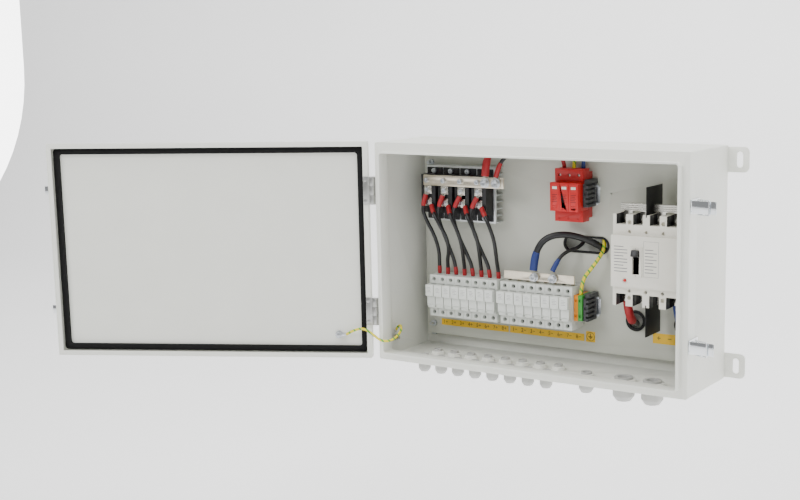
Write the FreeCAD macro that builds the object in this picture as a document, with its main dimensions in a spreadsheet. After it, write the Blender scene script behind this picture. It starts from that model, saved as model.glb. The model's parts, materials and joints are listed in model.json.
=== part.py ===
import FreeCAD, Part
import math
import os
import Sketcher

# DC combiner box: a wall-hung sheet-steel enclosure with its door swung open, eight string fuses
# on each polarity, a blocking-diode assembly, a surge protector, a four-pole isolating breaker,
# and cable glands through the floor.
# Frame: X to the right, the box faces -Y, +Y runs into the wall, Z up.  The origin lies on the
# wall plane (the backs of the wall brackets) at the centre of the four wall slots.

V = FreeCAD.Vector
doc = FreeCAD.newDocument("combiner_box")

dimensions = {
    # enclosure
    "box_width": 600, "box_height": 395, "box_depth": 160, "sheet_thick": 2, "corner_round": 3,
    "lip_side": 13, "lip_top": 16, "lip_bottom": 12, "lip_thick": 3, "lip_forward": 10.5,
    "lip_inward": 16, "lip_chamfer": 5,
    # wall brackets
    "bracket_thick": 3, "bracket_reach": 36, "bracket_overlap": 38, "bracket_height": 42,
    "slot_width": 11, "slot_length": 26, "slot_out": 20, "slot_from_edge": 24,
    # mounting panel
    "panel_side_gap": 17, "panel_end_gap": 25.5, "panel_standoff": 20, "panel_thick": 2,
    "stud_side": 32, "stud_end": 45.5, "stud_radius": 3,
    "cable_slot_length": 86, "cable_slot_width": 27, "cable_slot_x": 52.5, "cable_slot_z": 18.5,
    "grommet_hole": 16.5, "pole_grommet_z": -108,
    # door and hinges
    "door_margin": 1.25, "door_over": 0.8, "door_gap": 2.5, "door_depth": 17.5, "door_sheet": 1.5,
    "door_return": 9, "door_open_angle": 153.7, "gasket_width": 11.5, "gasket_clear": 0.7,
    "hinge_out": 7, "hinge_radius": 5.5, "hinge_length": 50, "hinge_pitch": 221,
    "hinge_pin": 2, "pin_clear": 0.03, "knuckle_gap": 0.2, "leaf_thick": 1.5,
    # toggle latches
    "latch_pitch": 224, "latch_back": 6, "latch_out": 5.5, "latch_arm": 41, "bail_reach": 22.3,
    "bail_wire": 1.1, "lever_half": 10,
    # rails
    "rail_height": 35, "rail_depth": 7.5, "rail_gauge": 1, "fuse_rail_z": -88.7, "spd_rail_z": 107.5,
    "fuse_rail_left": -262, "fuse_rail_right": 81, "spd_rail_left": -4, "spd_rail_right": 79,
    # fuse holders
    "fuse_pitch": 18, "fuse_width": 17.5, "fuse_height": 76.5, "fuse_front": 76,
    "pos_fuse_x": -235.75, "neg_fuse_x": -85.1, "fuse_pivot_y": 79, "fuse_pivot_drop": 20.8,
    "carrier_height": 43, "carrier_front": 92.5, "carrier_grip": 87, "fuse_link_radius": 5.15,
    "fuse_link_length": 38,
    # diode assembly
    "diode_pitch": 35.7, "diode_x": -241.5, "diode_z": 99, "sink_height": 101, "sink_width": 146,
    "sink_depth": 28, "sink_plate": 5, "diode_width": 32, "diode_length": 94, "diode_height": 28,
    "bar_thick": 3, "pos_bar_height": 19, "pos_bar_left": -248.5, "pos_bar_right": -80.5,
    "pos_bar_z": 125, "terminal_upper_z": 107.5, "terminal_lower_z": 85,
    # negative busbar
    "neg_bar_left": -90, "neg_bar_right": 50, "neg_bar_bottom": -46, "neg_bar_top": -31.5,
    "wire_entry_y": -55,
    # surge protector
    "spd_left": 10.5, "spd_pole": 18, "spd_height": 91.5, "spd_module_height": 49, "spd_front": 64,
    "spd_module_front": 83, "spd_pull": 30,
    # breaker
    "pole_pitch": 30, "breaker_left": 140, "breaker_bottom": -67.5, "breaker_height": 154,
    "breaker_front": 103, "cover_front": 111, "cover_bottom": -34.3, "cover_top": 52.3,
    "breaker_joint": 88, "handle_pivot": 70, "handle_z": 9, "handle_tilt": 18,
    "barrier_thick": 1.5, "barrier_length": 54,
    # glands
    "gland_pitch": 35.8, "gland_x": -221.1, "gland_front_y": -133.7, "gland_row_gap": 45,
    "gland_stub": 8, "gland_cap": 11, "gland_drop": 20, "gland_rise": 12, "stub_show": 4.5,
    "output_gland_y": -113, "medium_gland_x": 96, "output_gland_x": 166, "output_gland_pitch": 52,
    "output_stub": 16, "output_cap": 18.5, "output_drop": 29, "output_bore": 10,
    "medium_stub": 10, "medium_cap": 13, "medium_drop": 24, "medium_bore": 6,
    # cables
    "main_cable": 11.5, "string_wire": 6.8, "surge_wire": 6.4, "bond_wire": 4.6,
}

sheet = doc.addObject("Spreadsheet::Sheet", "dims")
for row, (alias, value) in enumerate(dimensions.items(), start=1):
    sheet.set("A%d" % row, str(value))
    sheet.setAlias("A%d" % row, alias)
doc.recompute()


class Size:
    """A value and the spreadsheet formula that it comes from, kept together."""

    def __init__(self, text, value):
        self.text = text
        self.value = value

    def __add__(self, other):
        return Size("(%s + %s)" % (self.text, wording(other)), self.value + number(other))

    def __radd__(self, other):
        return Size("(%s + %s)" % (wording(other), self.text), number(other) + self.value)

    def __sub__(self, other):
        return Size("(%s - %s)" % (self.text, wording(other)), self.value - number(other))

    def __rsub__(self, other):
        return Size("(%s - %s)" % (wording(other), self.text), number(other) - self.value)

    def __mul__(self, other):
        return Size("(%s * %s)" % (self.text, wording(other)), self.value * number(other))

    def __rmul__(self, other):
        return self * other

    def __truediv__(self, other):
        return Size("(%s / %s)" % (self.text, wording(other)), self.value / number(other))

    def __neg__(self):
        return Size("(-1 * %s)" % self.text, -self.value)


def number(value):
    return value.value if isinstance(value, Size) else float(value)


def wording(value):
    return value.text if isinstance(value, Size) else repr(float(value))


class Sheet:
    pass


s = Sheet()
for alias, value in dimensions.items():
    setattr(s, alias, Size("dims." + alias, float(value)))


# ---- small modelling helpers -------------------------------------------------------------

def bind(obj, prop, value):
    if isinstance(value, Size):
        obj.setExpression(prop, value.text)
    else:
        setattr(obj, prop, value)


def at(obj, x, y, z, axis=V(0, 0, 1), angle=0):
    turn = FreeCAD.Rotation(axis, number(angle))
    obj.Placement = FreeCAD.Placement(V(number(x), number(y), number(z)), turn)
    for letter, value in zip("xyz", (x, y, z)):
        if isinstance(value, Size):
            obj.setExpression("Placement.Base." + letter, value.text)
    if isinstance(angle, Size):
        obj.setExpression("Placement.Rotation.Angle", angle.text)
    return obj


def block(name, xs, ys, zs):
    box = doc.addObject("Part::Box", name)
    for prop, (low, high) in zip(("Length", "Width", "Height"), (xs, ys, zs)):
        bind(box, prop, high - low)
    return at(box, xs[0], ys[0], zs[0])


turns = {"x": (V(0, 1, 0), 90), "y": (V(1, 0, 0), -90), "z": (V(0, 0, 1), 0)}


def rod(name, start, along, length, radius):
    cylinder = doc.addObject("Part::Cylinder", name)
    bind(cylinder, "Height", length)
    bind(cylinder, "Radius", radius)
    return at(cylinder, *start, *turns[along])


def taper(name, start, along, length, first, last):
    cone = doc.addObject("Part::Cone", name)
    bind(cone, "Height", length)
    bind(cone, "Radius1", first)
    bind(cone, "Radius2", last)
    return at(cone, *start, *turns[along])


def hexagon(name, start, along, length, radius):
    prism = doc.addObject("Part::Prism", name)
    prism.Polygon = 6
    bind(prism, "Height", length)
    bind(prism, "Circumradius", radius)
    return at(prism, *start, *turns[along])


def ball(name, centre, radius):
    sphere = doc.addObject("Part::Sphere", name)
    bind(sphere, "Radius", radius)
    return at(sphere, *centre)


def fuse(name, *parts):
    joined = doc.addObject("Part::MultiFuse", name)
    joined.Shapes = list(parts)
    joined.Refine = True
    return joined


def group(name, *parts):
    compound = doc.addObject("Part::Compound", name)
    compound.Links = list(parts)
    return compound


def cut(name, base, *tools):
    result = doc.addObject("Part::Cut", name)
    result.Base = base
    result.Tool = tools[0] if len(tools) == 1 else group(name + "_tools", *tools)
    return result


def common(name, base, tool):
    result = doc.addObject("Part::Common", name)
    result.Base = base
    result.Tool = tool
    return result


def link(name, target, x=0, y=0, z=0, axis=V(0, 0, 1), angle=0):
    copy = doc.addObject("App::Link", name)
    copy.LinkedObject = target
    return at(copy, x, y, z, axis, angle)


def copies(name, target, places):
    return group(name, *[link("%s_at_%d" % (name, k), target, *place)
                         for k, place in enumerate(places, start=1)])


def rounded(name, base, radius, chosen):
    doc.recompute()
    fillet = doc.addObject("Part::Fillet", name)
    fillet.Base = base
    fillet.Edges = [(k, radius, radius) for k, edge in enumerate(base.Shape.Edges, start=1)
                    if chosen(edge)]
    return fillet


def runs_along(edge, axis):
    ends = edge.Vertexes
    if len(ends) != 2:
        return False
    step = ends[1].Point - ends[0].Point
    return step.Length > 1e-6 and abs(abs(step.dot(axis)) - step.Length) < 1e-6


# ---- sketches for the PartDesign bodies --------------------------------------------------

def sketch(body, name, plane, offset):
    drawing = body.newObject("Sketcher::SketchObject", name)
    support = [item for item in body.Origin.OriginFeatures if item.Role == plane][0]
    drawing.AttachmentSupport = [(support, "")]
    drawing.MapMode = "FlatFace"
    drawing.AttachmentOffset = FreeCAD.Placement(V(0, 0, number(offset)), FreeCAD.Rotation())
    if isinstance(offset, Size):
        drawing.setExpression("AttachmentOffset.Base.z", offset.text)
    return drawing


def constrain(drawing, constraint, value):
    index = drawing.addConstraint(constraint)
    if isinstance(value, Size):
        drawing.setExpression("Constraints[%d]" % index, value.text)


def outline(drawing, corners):
    first = drawing.GeometryCount
    count = len(corners)
    for k, corner in enumerate(corners):
        after = corners[(k + 1) % count]
        drawing.addGeometry(Part.LineSegment(V(number(corner[0]), number(corner[1]), 0),
                                             V(number(after[0]), number(after[1]), 0)))
    for k in range(count):
        drawing.addConstraint(Sketcher.Constraint("Coincident", first + k, 2,
                                                  first + (k + 1) % count, 1))
    for k, corner in enumerate(corners):
        for kind, value in zip(("DistanceX", "DistanceY"), corner):
            constrain(drawing, Sketcher.Constraint(kind, -1, 1, first + k, 1, number(value)), value)


def circle(drawing, x, y, radius):
    index = drawing.addGeometry(Part.Circle(V(number(x), number(y), 0), V(0, 0, 1), number(radius)))
    constrain(drawing, Sketcher.Constraint("DistanceX", -1, 1, index, 3, number(x)), x)
    constrain(drawing, Sketcher.Constraint("DistanceY", -1, 1, index, 3, number(y)), y)
    constrain(drawing, Sketcher.Constraint("Radius", index, number(radius)), radius)


def rectangle(xs, ys):
    return [(xs[0], ys[0]), (xs[1], ys[0]), (xs[1], ys[1]), (xs[0], ys[1])]


def chamfered(xs, ys, clip):
    return [(xs[0] + clip, ys[0]), (xs[1] - clip, ys[0]), (xs[1], ys[0] + clip),
            (xs[1], ys[1] - clip), (xs[1] - clip, ys[1]), (xs[0] + clip, ys[1]),
            (xs[0], ys[1] - clip), (xs[0], ys[0] + clip)]


def design_body(name):
    return doc.addObject("PartDesign::Body", name)


def pad(body, drawing, length, name):
    feature = body.newObject("PartDesign::Pad", name)
    feature.Profile = drawing
    bind(feature, "Length", length)
    doc.recompute()
    return feature


def pocket(body, drawing, length, name):
    before = body.Shape.Volume
    feature = body.newObject("PartDesign::Pocket", name)
    feature.Profile = drawing
    bind(feature, "Length", length)
    doc.recompute()
    if not body.Shape.Volume < before:
        raise RuntimeError("%s removes nothing" % name)
    return feature


# ---- cords: straight runs joined by tangent arcs -----------------------------------------

def cord_path(points):
    corners = [V(*point) for point in points]
    edges = []
    radii = []
    here = corners[0]
    for before, corner, after in zip(corners, corners[1:], corners[2:]):
        incoming = (corner - before).normalize()
        outgoing = (after - corner).normalize()
        turn = incoming.getAngle(outgoing)
        reach = 0.45 * min((corner - before).Length, (after - corner).Length)
        start = corner - incoming * reach
        end = corner + outgoing * reach
        radius = reach / math.tan(turn / 2)
        radii.append(radius)
        inward = (outgoing - incoming).normalize()
        centre = corner + inward * math.hypot(radius, reach)
        middle = centre - inward * radius
        edges.append(Part.LineSegment(here, start).toShape())
        edges.append(Part.Arc(start, middle, end).toShape())
        here = end
    edges.append(Part.LineSegment(here, corners[-1]).toShape())
    return Part.Wire(edges), radii


def cord_solid(label, points, diameter):
    path, radii = cord_path(points)
    start = V(*points[0])
    direction = (V(*points[1]) - start).normalize()
    section = Part.Wire([Part.Circle(start, direction, diameter / 2).toShape()])
    solid = path.makePipeShell([section], True, False)
    expected = math.pi * diameter ** 2 / 4 * path.Length
    if abs(solid.Volume / expected - 1) > 0.01:
        raise RuntimeError("%s: tube volume %.0f, expected %.0f" % (label, solid.Volume, expected))
    print("%s: length %.0f mm, tightest radius %.1f mm" % (label, path.Length, min(radii)),
          [round(r) for r in radii])
    return solid


def cords(name, routes, diameter):
    feature = doc.addObject("Part::Feature", name)
    solids = [cord_solid("%s %d" % (name, k), route, diameter)
              for k, route in enumerate(routes, start=1)]
    feature.Shape = solids[0] if len(solids) == 1 else Part.makeCompound(solids)
    return feature


nodes = []


def node(obj, name):
    obj.Label = name
    nodes.append(obj)
    return obj


# ---- planes and places that several sub-parts share --------------------------------------

half_width = s.box_width / 2
half_height = s.box_height / 2
back = -s.bracket_thick                       # outer face of the back wall
front = -(s.bracket_thick + s.box_depth)      # front face of the flange
back_inside = back - s.sheet_thick
floor_top = -half_height + s.sheet_thick
panel_back = back_inside - s.panel_standoff
panel_front = panel_back - s.panel_thick
rail_front = panel_front - s.rail_depth
upper_slot_z = half_height - s.slot_from_edge
slot_x = half_width + s.slot_out
hinge_x = -(half_width + s.hinge_out)
hinge_z = s.hinge_pitch / 2
latch_z = s.latch_pitch / 2
grommet_left_x = s.breaker_left + 8
grommet_right_x = grommet_left_x + 3 * s.pole_pitch
breaker_top = s.breaker_bottom + s.breaker_height

string_gland_places = [(s.gland_x + s.gland_pitch * k, s.gland_front_y + s.gland_row_gap * row)
                       for row in (0, 1) for k in range(8)]
output_gland_places = [(s.output_gland_x + s.output_gland_pitch * k, s.output_gland_y) for k in (0, 1)]
medium_gland_places = [(s.medium_gland_x, s.output_gland_y)]
stud_places = [(side * (half_width - s.stud_side), end * (half_height - s.stud_end))
               for side in (-1, 1) for end in (-1, 1)]


# ---- enclosure ---------------------------------------------------------------------------

def enclosure_shell():
    body = design_body("shell_body")
    outer = sketch(body, "outer_outline", "XZ_Plane", -back)
    outline(outer, rectangle((-half_width, half_width), (-half_height, half_height)))
    block_feature = pad(body, outer, s.box_depth, "outer_pad")
    edges = ["Edge%d" % k for k, edge in enumerate(block_feature.Shape.Edges, start=1)
             if runs_along(edge, V(0, 1, 0))]
    fillet = body.newObject("PartDesign::Fillet", "outer_corners")
    fillet.Base = (block_feature, edges)
    bind(fillet, "Radius", s.corner_round)
    doc.recompute()

    inner_x = half_width - s.sheet_thick
    inner_z = half_height - s.sheet_thick
    hollow = sketch(body, "hollow_outline", "XZ_Plane", -(front + s.sheet_thick))
    outline(hollow, rectangle((-inner_x, inner_x), (-inner_z, inner_z)))
    pocket(body, hollow, s.box_depth - 2 * s.sheet_thick, "hollow")

    lip_xs = (-half_width + s.lip_side, half_width - s.lip_side)
    lip_zs = (-half_height + s.lip_bottom, half_height - s.lip_top)
    opening = sketch(body, "opening_outline", "XZ_Plane", -front)
    outline(opening, chamfered(lip_xs, lip_zs, s.lip_chamfer))
    pocket(body, opening, s.sheet_thick, "opening")

    lip = sketch(body, "lip_outline", "XZ_Plane", -(front + s.lip_inward))
    outline(lip, chamfered(lip_xs, lip_zs, s.lip_chamfer))
    inside_xs = (lip_xs[0] + s.lip_thick, lip_xs[1] - s.lip_thick)
    inside_zs = (lip_zs[0] + s.lip_thick, lip_zs[1] - s.lip_thick)
    outline(lip, chamfered(inside_xs, inside_zs, s.lip_chamfer * 0.6))
    pad(body, lip, s.lip_inward + s.lip_forward, "lip")

    floor = sketch(body, "gland_holes", "XY_Plane", floor_top + 1)
    for x, y in string_gland_places:
        circle(floor, x, y, s.gland_stub)
    for x, y in output_gland_places:
        circle(floor, x, y, s.output_stub)
    for x, y in medium_gland_places:
        circle(floor, x, y, s.medium_stub)
    pocket(body, floor, s.sheet_thick + 2, "gland_hole_row")

    bores = []
    for side in (-1, 1):
        for end in (-1, 1):
            bores.append(rod("bracket_bore", (side * (half_width - 19), back_inside - 1,
                                              end * upper_slot_z), "y", s.sheet_thick + 2, 4))
    for end in (-1, 1):
        for step in (-19, 19):
            bores.append(rod("hinge_bore", (-half_width - 1, front + 16, end * hinge_z + step), "x",
                             s.sheet_thick + 2, 2))
            bores.append(rod("latch_bore", (half_width - s.sheet_thick - 1, front + 30,
                                            end * latch_z + step * 0.35), "x", s.sheet_thick + 2, 2))
    bores.append(rod("earth_bore", (-half_width - 1, front + 43, -half_height + 32), "x",
                     s.sheet_thick + 2, 3))
    welded_sheets(cut("shell_whole", body, *bores))


def welded_sheets(whole):
    """The box as it is welded up: a back, four walls and four mitred bars of the front rim."""
    over = 1
    reach = front - s.lip_forward - over
    deep = (front + s.sheet_thick, back_inside)
    wall_zone = cut("wall_zone",
                    block("wall_zone_outer", (-half_width - over, half_width + over), deep,
                          (-half_height - over, half_height + over)),
                    block("wall_zone_inner", (-half_width + s.sheet_thick, half_width - s.sheet_thick),
                          (front, back), (-half_height + s.sheet_thick, half_height - s.sheet_thick)))
    back_zone = block("back_zone", (-half_width - over, half_width + over), (back_inside, back + over),
                      (-half_height - over, half_height + over))
    walls = common("walls", whole, wall_zone)
    rim = cut("rim", whole, wall_zone, back_zone)
    sheets = [common("back_sheet", whole, back_zone)]
    apex = half_width - half_height                        # where two mitre lines would meet
    out_x, out_z = half_width + over, half_height + over
    wedges = {
        "left": [(-out_x, -out_z), (-apex, 0), (-out_x, out_z)],
        "right": [(out_x, -out_z), (out_x, out_z), (apex, 0)],
        "top": [(-out_x, out_z), (-apex, 0), (apex, 0), (out_x, out_z)],
        "bottom": [(-out_x, -out_z), (out_x, -out_z), (apex, 0), (-apex, 0)],
    }
    for side, corners in wedges.items():
        prism = design_body(side + "_mitre")
        drawing = sketch(prism, side + "_mitre_outline", "XZ_Plane", -back)
        outline(drawing, corners)
        pad(prism, drawing, -reach - s.bracket_thick, side + "_mitre_pad")
        sheets.append(common(side + "_wall", walls, prism))
        sheets.append(common(side + "_rim", rim, prism))
    node(group("enclosure_shell", *sheets), "enclosure_shell")


def wall_brackets():
    body = design_body("bracket_plate")
    plan = sketch(body, "bracket_outline", "XZ_Plane", 0)
    outline(plan, chamfered((-s.bracket_overlap, s.bracket_reach),
                            (-s.bracket_height / 2, s.bracket_height / 2), 0.5))
    pad(body, plan, s.bracket_thick, "bracket_pad")
    slot = fuse("bracket_slot",
                block("slot_middle", (s.slot_out - s.slot_width / 2, s.slot_out + s.slot_width / 2),
                      (-s.bracket_thick - 1, 1),
                      ((s.slot_width - s.slot_length) / 2, (s.slot_length - s.slot_width) / 2)),
                *[rod("slot_end", (s.slot_out, -s.bracket_thick - 1,
                                   end * (s.slot_length - s.slot_width) / 2), "y",
                      s.bracket_thick + 2, s.slot_width / 2) for end in (-1, 1)])
    corner_blocks = []
    round_radius = 9
    for end in (-1, 1):
        square = block("corner_square",
                       (s.bracket_reach - round_radius, s.bracket_reach + 1),
                       (-s.bracket_thick - 1, 1),
                       (s.bracket_height / 2 - round_radius, s.bracket_height / 2 + 1)
                       if end > 0 else
                       (-s.bracket_height / 2 - 1, -s.bracket_height / 2 + round_radius))
        disc = rod("corner_disc", (s.bracket_reach - round_radius, -s.bracket_thick - 2,
                                   end * (s.bracket_height / 2 - round_radius)), "y",
                   s.bracket_thick + 4, round_radius)
        corner_blocks.append(cut("corner_waste", square, disc))
    bolt_hole = rod("bracket_hole", (-19, -s.bracket_thick - 1, 0), "y", s.bracket_thick + 2, 4)
    bracket = cut("bracket", body, slot, bolt_hole, *corner_blocks)
    node(copies("wall_brackets", bracket,
                [(half_width, 0, upper_slot_z), (half_width, 0, -upper_slot_z),
                 (-half_width, 0, upper_slot_z, V(0, 1, 0), 180),
                 (-half_width, 0, -upper_slot_z, V(0, 1, 0), 180)]), "wall_brackets")


def enclosure_fixings():
    pieces = []
    for side in (-1, 1):
        for end in (-1, 1):
            x = side * (half_width - 19)
            z = end * upper_slot_z
            pieces.append(fuse("bracket_bolt",
                               hexagon("bolt_head", (x, back_inside - 5, z), "y", 5, 7),
                               rod("bolt_shank", (x, back_inside, z), "y", -back_inside - 0.3, 3.9)))
    for x, z in stud_places:
        spacer = cut("spacer", rod("spacer_tube", (x, panel_back, z), "y", s.panel_standoff, 6),
                     rod("spacer_bore", (x, panel_back - 1, z), "y", s.panel_standoff + 2,
                         s.stud_radius + 0.2))
        stud = rod("panel_stud", (x, panel_front - 14, z), "y",
                   s.panel_standoff + s.panel_thick + 14, s.stud_radius)
        nut = cut("panel_nut", hexagon("nut_blank", (x, panel_front - 5, z), "y", 5, 6.4),
                  rod("nut_bore", (x, panel_front - 6, z), "y", 7, s.stud_radius + 0.1))
        pieces += [spacer, stud, nut]
    node(group("enclosure_fixings", *pieces), "enclosure_fixings")


def mounting_panel():
    body = design_body("panel_body")
    plan = sketch(body, "panel_outline", "XZ_Plane", -panel_back)
    outline(plan, rectangle((-half_width + s.panel_side_gap, half_width - s.panel_side_gap),
                            (-half_height + s.panel_end_gap, half_height - s.panel_end_gap)))
    pad(body, plan, s.panel_thick, "panel_pad")
    holes = sketch(body, "panel_holes", "XZ_Plane", -panel_front)
    for x, z in stud_places:
        circle(holes, x, z, s.stud_radius + 1)
    for x in (grommet_left_x, grommet_right_x):
        circle(holes, x, s.pole_grommet_z, s.grommet_hole)
    circle(holes, 100.5, 110, 1.6)
    pocket(body, holes, s.panel_thick, "panel_hole_set")
    reach = (s.cable_slot_length - s.cable_slot_width) / 2
    slot = fuse("cable_slot",
                block("cable_slot_middle", (s.cable_slot_x - reach, s.cable_slot_x + reach),
                      (panel_front - 1, panel_back + 1),
                      (s.cable_slot_z - s.cable_slot_width / 2, s.cable_slot_z + s.cable_slot_width / 2)),
                *[rod("cable_slot_end", (s.cable_slot_x + side * reach, panel_front - 1,
                                         s.cable_slot_z), "y", s.panel_thick + 2,
                      s.cable_slot_width / 2) for side in (-1, 1)])
    node(cut("mounting_panel", body, slot), "mounting_panel")


def ring(name, x, z, ys, outer, inner):
    return cut(name, rod(name + "_blank", (x, ys[0], z), "y", ys[1] - ys[0], outer),
               rod(name + "_bore", (x, ys[0] - 1, z), "y", ys[1] - ys[0] + 2, inner))


def cable_grommets():
    pieces = []
    lip_gap = 0.1
    for k, x in enumerate((grommet_left_x, grommet_right_x)):
        pieces.append(fuse(
            "pole_grommet",
            ring("grommet_flange", x, s.pole_grommet_z, (panel_front - 2.5, panel_front - lip_gap),
                 s.grommet_hole + 2, s.grommet_hole - 3),
            ring("grommet_neck", x, s.pole_grommet_z, (panel_front - 1, panel_back + 1),
                 s.grommet_hole - 0.3, s.grommet_hole - 3)))
    reach = (s.cable_slot_length - s.cable_slot_width) / 2

    def stadium(name, grow, ys):
        middle = block(name + "_middle", (s.cable_slot_x - reach, s.cable_slot_x + reach), ys,
                       (s.cable_slot_z - s.cable_slot_width / 2 - grow,
                        s.cable_slot_z + s.cable_slot_width / 2 + grow))
        ends = [rod(name + "_end", (s.cable_slot_x + side * reach, ys[0], s.cable_slot_z), "y",
                    ys[1] - ys[0], s.cable_slot_width / 2 + grow) for side in (-1, 1)]
        return fuse(name, middle, *ends)

    outer = fuse("slot_trim_outer",
                 stadium("trim_front", 1.8, (panel_front - 2, panel_front - lip_gap)),
                 stadium("trim_neck", -0.3, (panel_front - 1, panel_back + 1.5)))
    pieces.append(cut("slot_trim", outer,
                      stadium("trim_bore", -1.8, (panel_front - 3, panel_back + 3))))
    node(group("cable_grommets", *pieces), "cable_grommets")


# ---- door --------------------------------------------------------------------------------
# The door is drawn closed, about the hinge axis, and hung at its open angle.

door_near = s.hinge_out + s.door_margin                    # hinge-side edge from the hinge axis
door_far = s.hinge_out + s.box_width - s.door_margin       # free edge from the hinge axis
door_half = half_height + s.door_over
rim_y = -s.door_gap
skin_back = -(s.door_gap + s.door_depth)
skin_inside = skin_back + s.door_sheet


def hang(name, shape):
    placed = link(name + "_hung", shape, hinge_x, front, 0, V(0, 0, 1), -s.door_open_angle)
    return node(group(name, placed), name)


def door_panel():
    body = design_body("door_body")
    skin = sketch(body, "door_outline", "XZ_Plane", -rim_y)
    outline(skin, rectangle((door_near, door_far), (-door_half, door_half)))
    blank = pad(body, skin, s.door_depth, "door_blank")
    edges = ["Edge%d" % k for k, edge in enumerate(blank.Shape.Edges, start=1)
             if runs_along(edge, V(0, 1, 0))]
    corners = body.newObject("PartDesign::Fillet", "door_corners")
    corners.Base = (blank, edges)
    bind(corners, "Radius", s.door_sheet)
    doc.recompute()
    # the sketches sit behind the rim and cut towards the box, so their pockets run along +Y
    hollow = sketch(body, "door_hollow_outline", "XZ_Plane", -skin_inside)
    wall = s.door_sheet
    outline(hollow, rectangle((door_near + wall, door_far - wall), (-door_half + wall, door_half - wall)))
    pocket(body, hollow, s.door_depth - 2 * wall, "door_hollow")
    mouth = sketch(body, "door_mouth_outline", "XZ_Plane", -(rim_y - wall))
    turn_in = s.door_return
    outline(mouth, rectangle((door_near + turn_in, door_far - turn_in),
                             (-door_half + turn_in, door_half - turn_in)))
    pocket(body, mouth, wall, "door_mouth")
    bores = [rod("leaf_bore", (door_near + 5, rim_y - wall - 1, end * hinge_z + step), "y", wall + 2, 2)
             for end in (-1, 1) for step in (-19, 19)]
    hang("door_panel", cut("door_shell", body, *bores))


def door_gasket():
    near = s.door_return + 0.5
    far = s.door_return + s.gasket_width
    surface = -(s.lip_forward + s.gasket_clear)
    outer = block("gasket_outer", (door_near + near, door_far - near), (skin_inside, surface),
                  (-door_half + near, door_half - near))
    inner = block("gasket_inner", (door_near + far, door_far - far), (skin_inside - 1, surface + 1),
                  (-door_half + far, door_half - far))
    ring_shape = cut("gasket_ring", rounded("gasket_outer_round", outer, 7,
                                            lambda edge: runs_along(edge, V(0, 1, 0))),
                     rounded("gasket_inner_round", inner, 5,
                             lambda edge: runs_along(edge, V(0, 1, 0))))
    hang("door_gasket", ring_shape)


def knuckle(name, zs):
    return cut(name, rod(name + "_barrel", (0, 0, zs[0]), "z", zs[1] - zs[0], s.hinge_radius),
               rod(name + "_bore", (0, 0, zs[0] - 1), "z", zs[1] - zs[0] + 2, s.hinge_pin + s.pin_clear))


def hinges():
    third = s.hinge_length / 6
    half = s.hinge_length / 2
    gap = s.knuckle_gap
    # the box half: two knuckles, their leaf along the side wall, and the pin
    bore = rod("box_leaf_bore", (0, 0, -half - 1), "z", s.hinge_length + 2, s.hinge_pin + s.pin_clear)
    leaf = block("box_leaf", (s.hinge_out - 2, s.hinge_out - 0.1), (0.5, 27), (-half, half))
    webs = []
    knuckles = []
    for end in (-1, 1):
        zs = (third + gap, half) if end > 0 else (-half, -third - gap)
        knuckles.append(knuckle("box_knuckle", zs))
        webs.append(block("box_web", (2.5, s.hinge_out - 0.1), (0.5, 4.5), zs))
    room = rod("middle_knuckle_room", (0, 0, -third - gap), "z", 2 * (third + gap), s.hinge_radius + 0.3)
    box_half = cut("box_half_bored",
                   fuse("box_half", cut("box_leaf_cleared", leaf, room), *webs, *knuckles), bore)
    screws = [rod("hinge_screw", (s.hinge_out - 3.2, 16, step), "x", 1.2, 3.6) for step in (-19, 19)]
    nuts = [hexagon("hinge_nut", (s.hinge_out + s.sheet_thick, 16, step), "x", 2.5, 3.8)
            for step in (-19, 19)]
    pin = rod("hinge_pin_rod", (0, 0, -half), "z", s.hinge_length, s.hinge_pin)
    unit = group("box_hinge", box_half, pin, *screws, *nuts)
    node(copies("hinge_frame_halves", unit, [(hinge_x, front, end * hinge_z) for end in (-1, 1)]),
         "hinge_frame_halves")
    # the door half: the middle knuckle and its leaf on the door's turned-in edge
    strap = block("door_strap", (1, door_near + 9), (rim_y + 0.1, rim_y + 0.1 + s.leaf_thick),
                  (-third + gap, third - gap))
    door_leaf = block("door_leaf", (s.hinge_radius + 0.5, door_near + 9),
                      (rim_y + 0.1, rim_y + 0.1 + s.leaf_thick), (-half, half))
    leaf_bore = rod("door_leaf_bore", (0, 0, -half - 1), "z", s.hinge_length + 2,
                    s.hinge_pin + s.pin_clear)
    middle = knuckle("door_knuckle", (-third + gap, third - gap))
    door_half_hinge = cut("door_half_bored", fuse("door_half_hinge", strap, door_leaf, middle), leaf_bore)
    leaf_screws = [rod("leaf_screw", (door_near + 5, rim_y + 0.1 + s.leaf_thick, step), "y", 0.6, 3.4)
                   for step in (-19, 19)]
    door_unit = group("door_hinge", door_half_hinge, *leaf_screws)
    hang("hinge_door_leaves", copies("door_hinge_pair", door_unit,
                                     [(0, 0, end * hinge_z) for end in (-1, 1)]))


def door_keepers():
    pieces = []
    for end in (-1, 1):
        z = end * latch_z
        plate = block("keeper_plate", (door_far + 0.05, door_far + 1.5), (-16.5, -5), (z - 9, z + 9))
        lip = block("keeper_lip", (door_far + 1, door_far + 8.5), (-9.5, -7.6), (z - 8, z + 8))
        hook = block("keeper_hook", (door_far + 7, door_far + 8.5), (-11.3, -7.6), (z - 8, z + 8))
        rivets = [rod("keeper_rivet", (door_far + 1.5, -13, z + step), "x", 0.8, 2) for step in (-5, 5)]
        pieces.append(fuse("keeper", plate, lip, hook, *rivets))
    hang("door_keepers", group("keeper_pair", *pieces))


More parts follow.
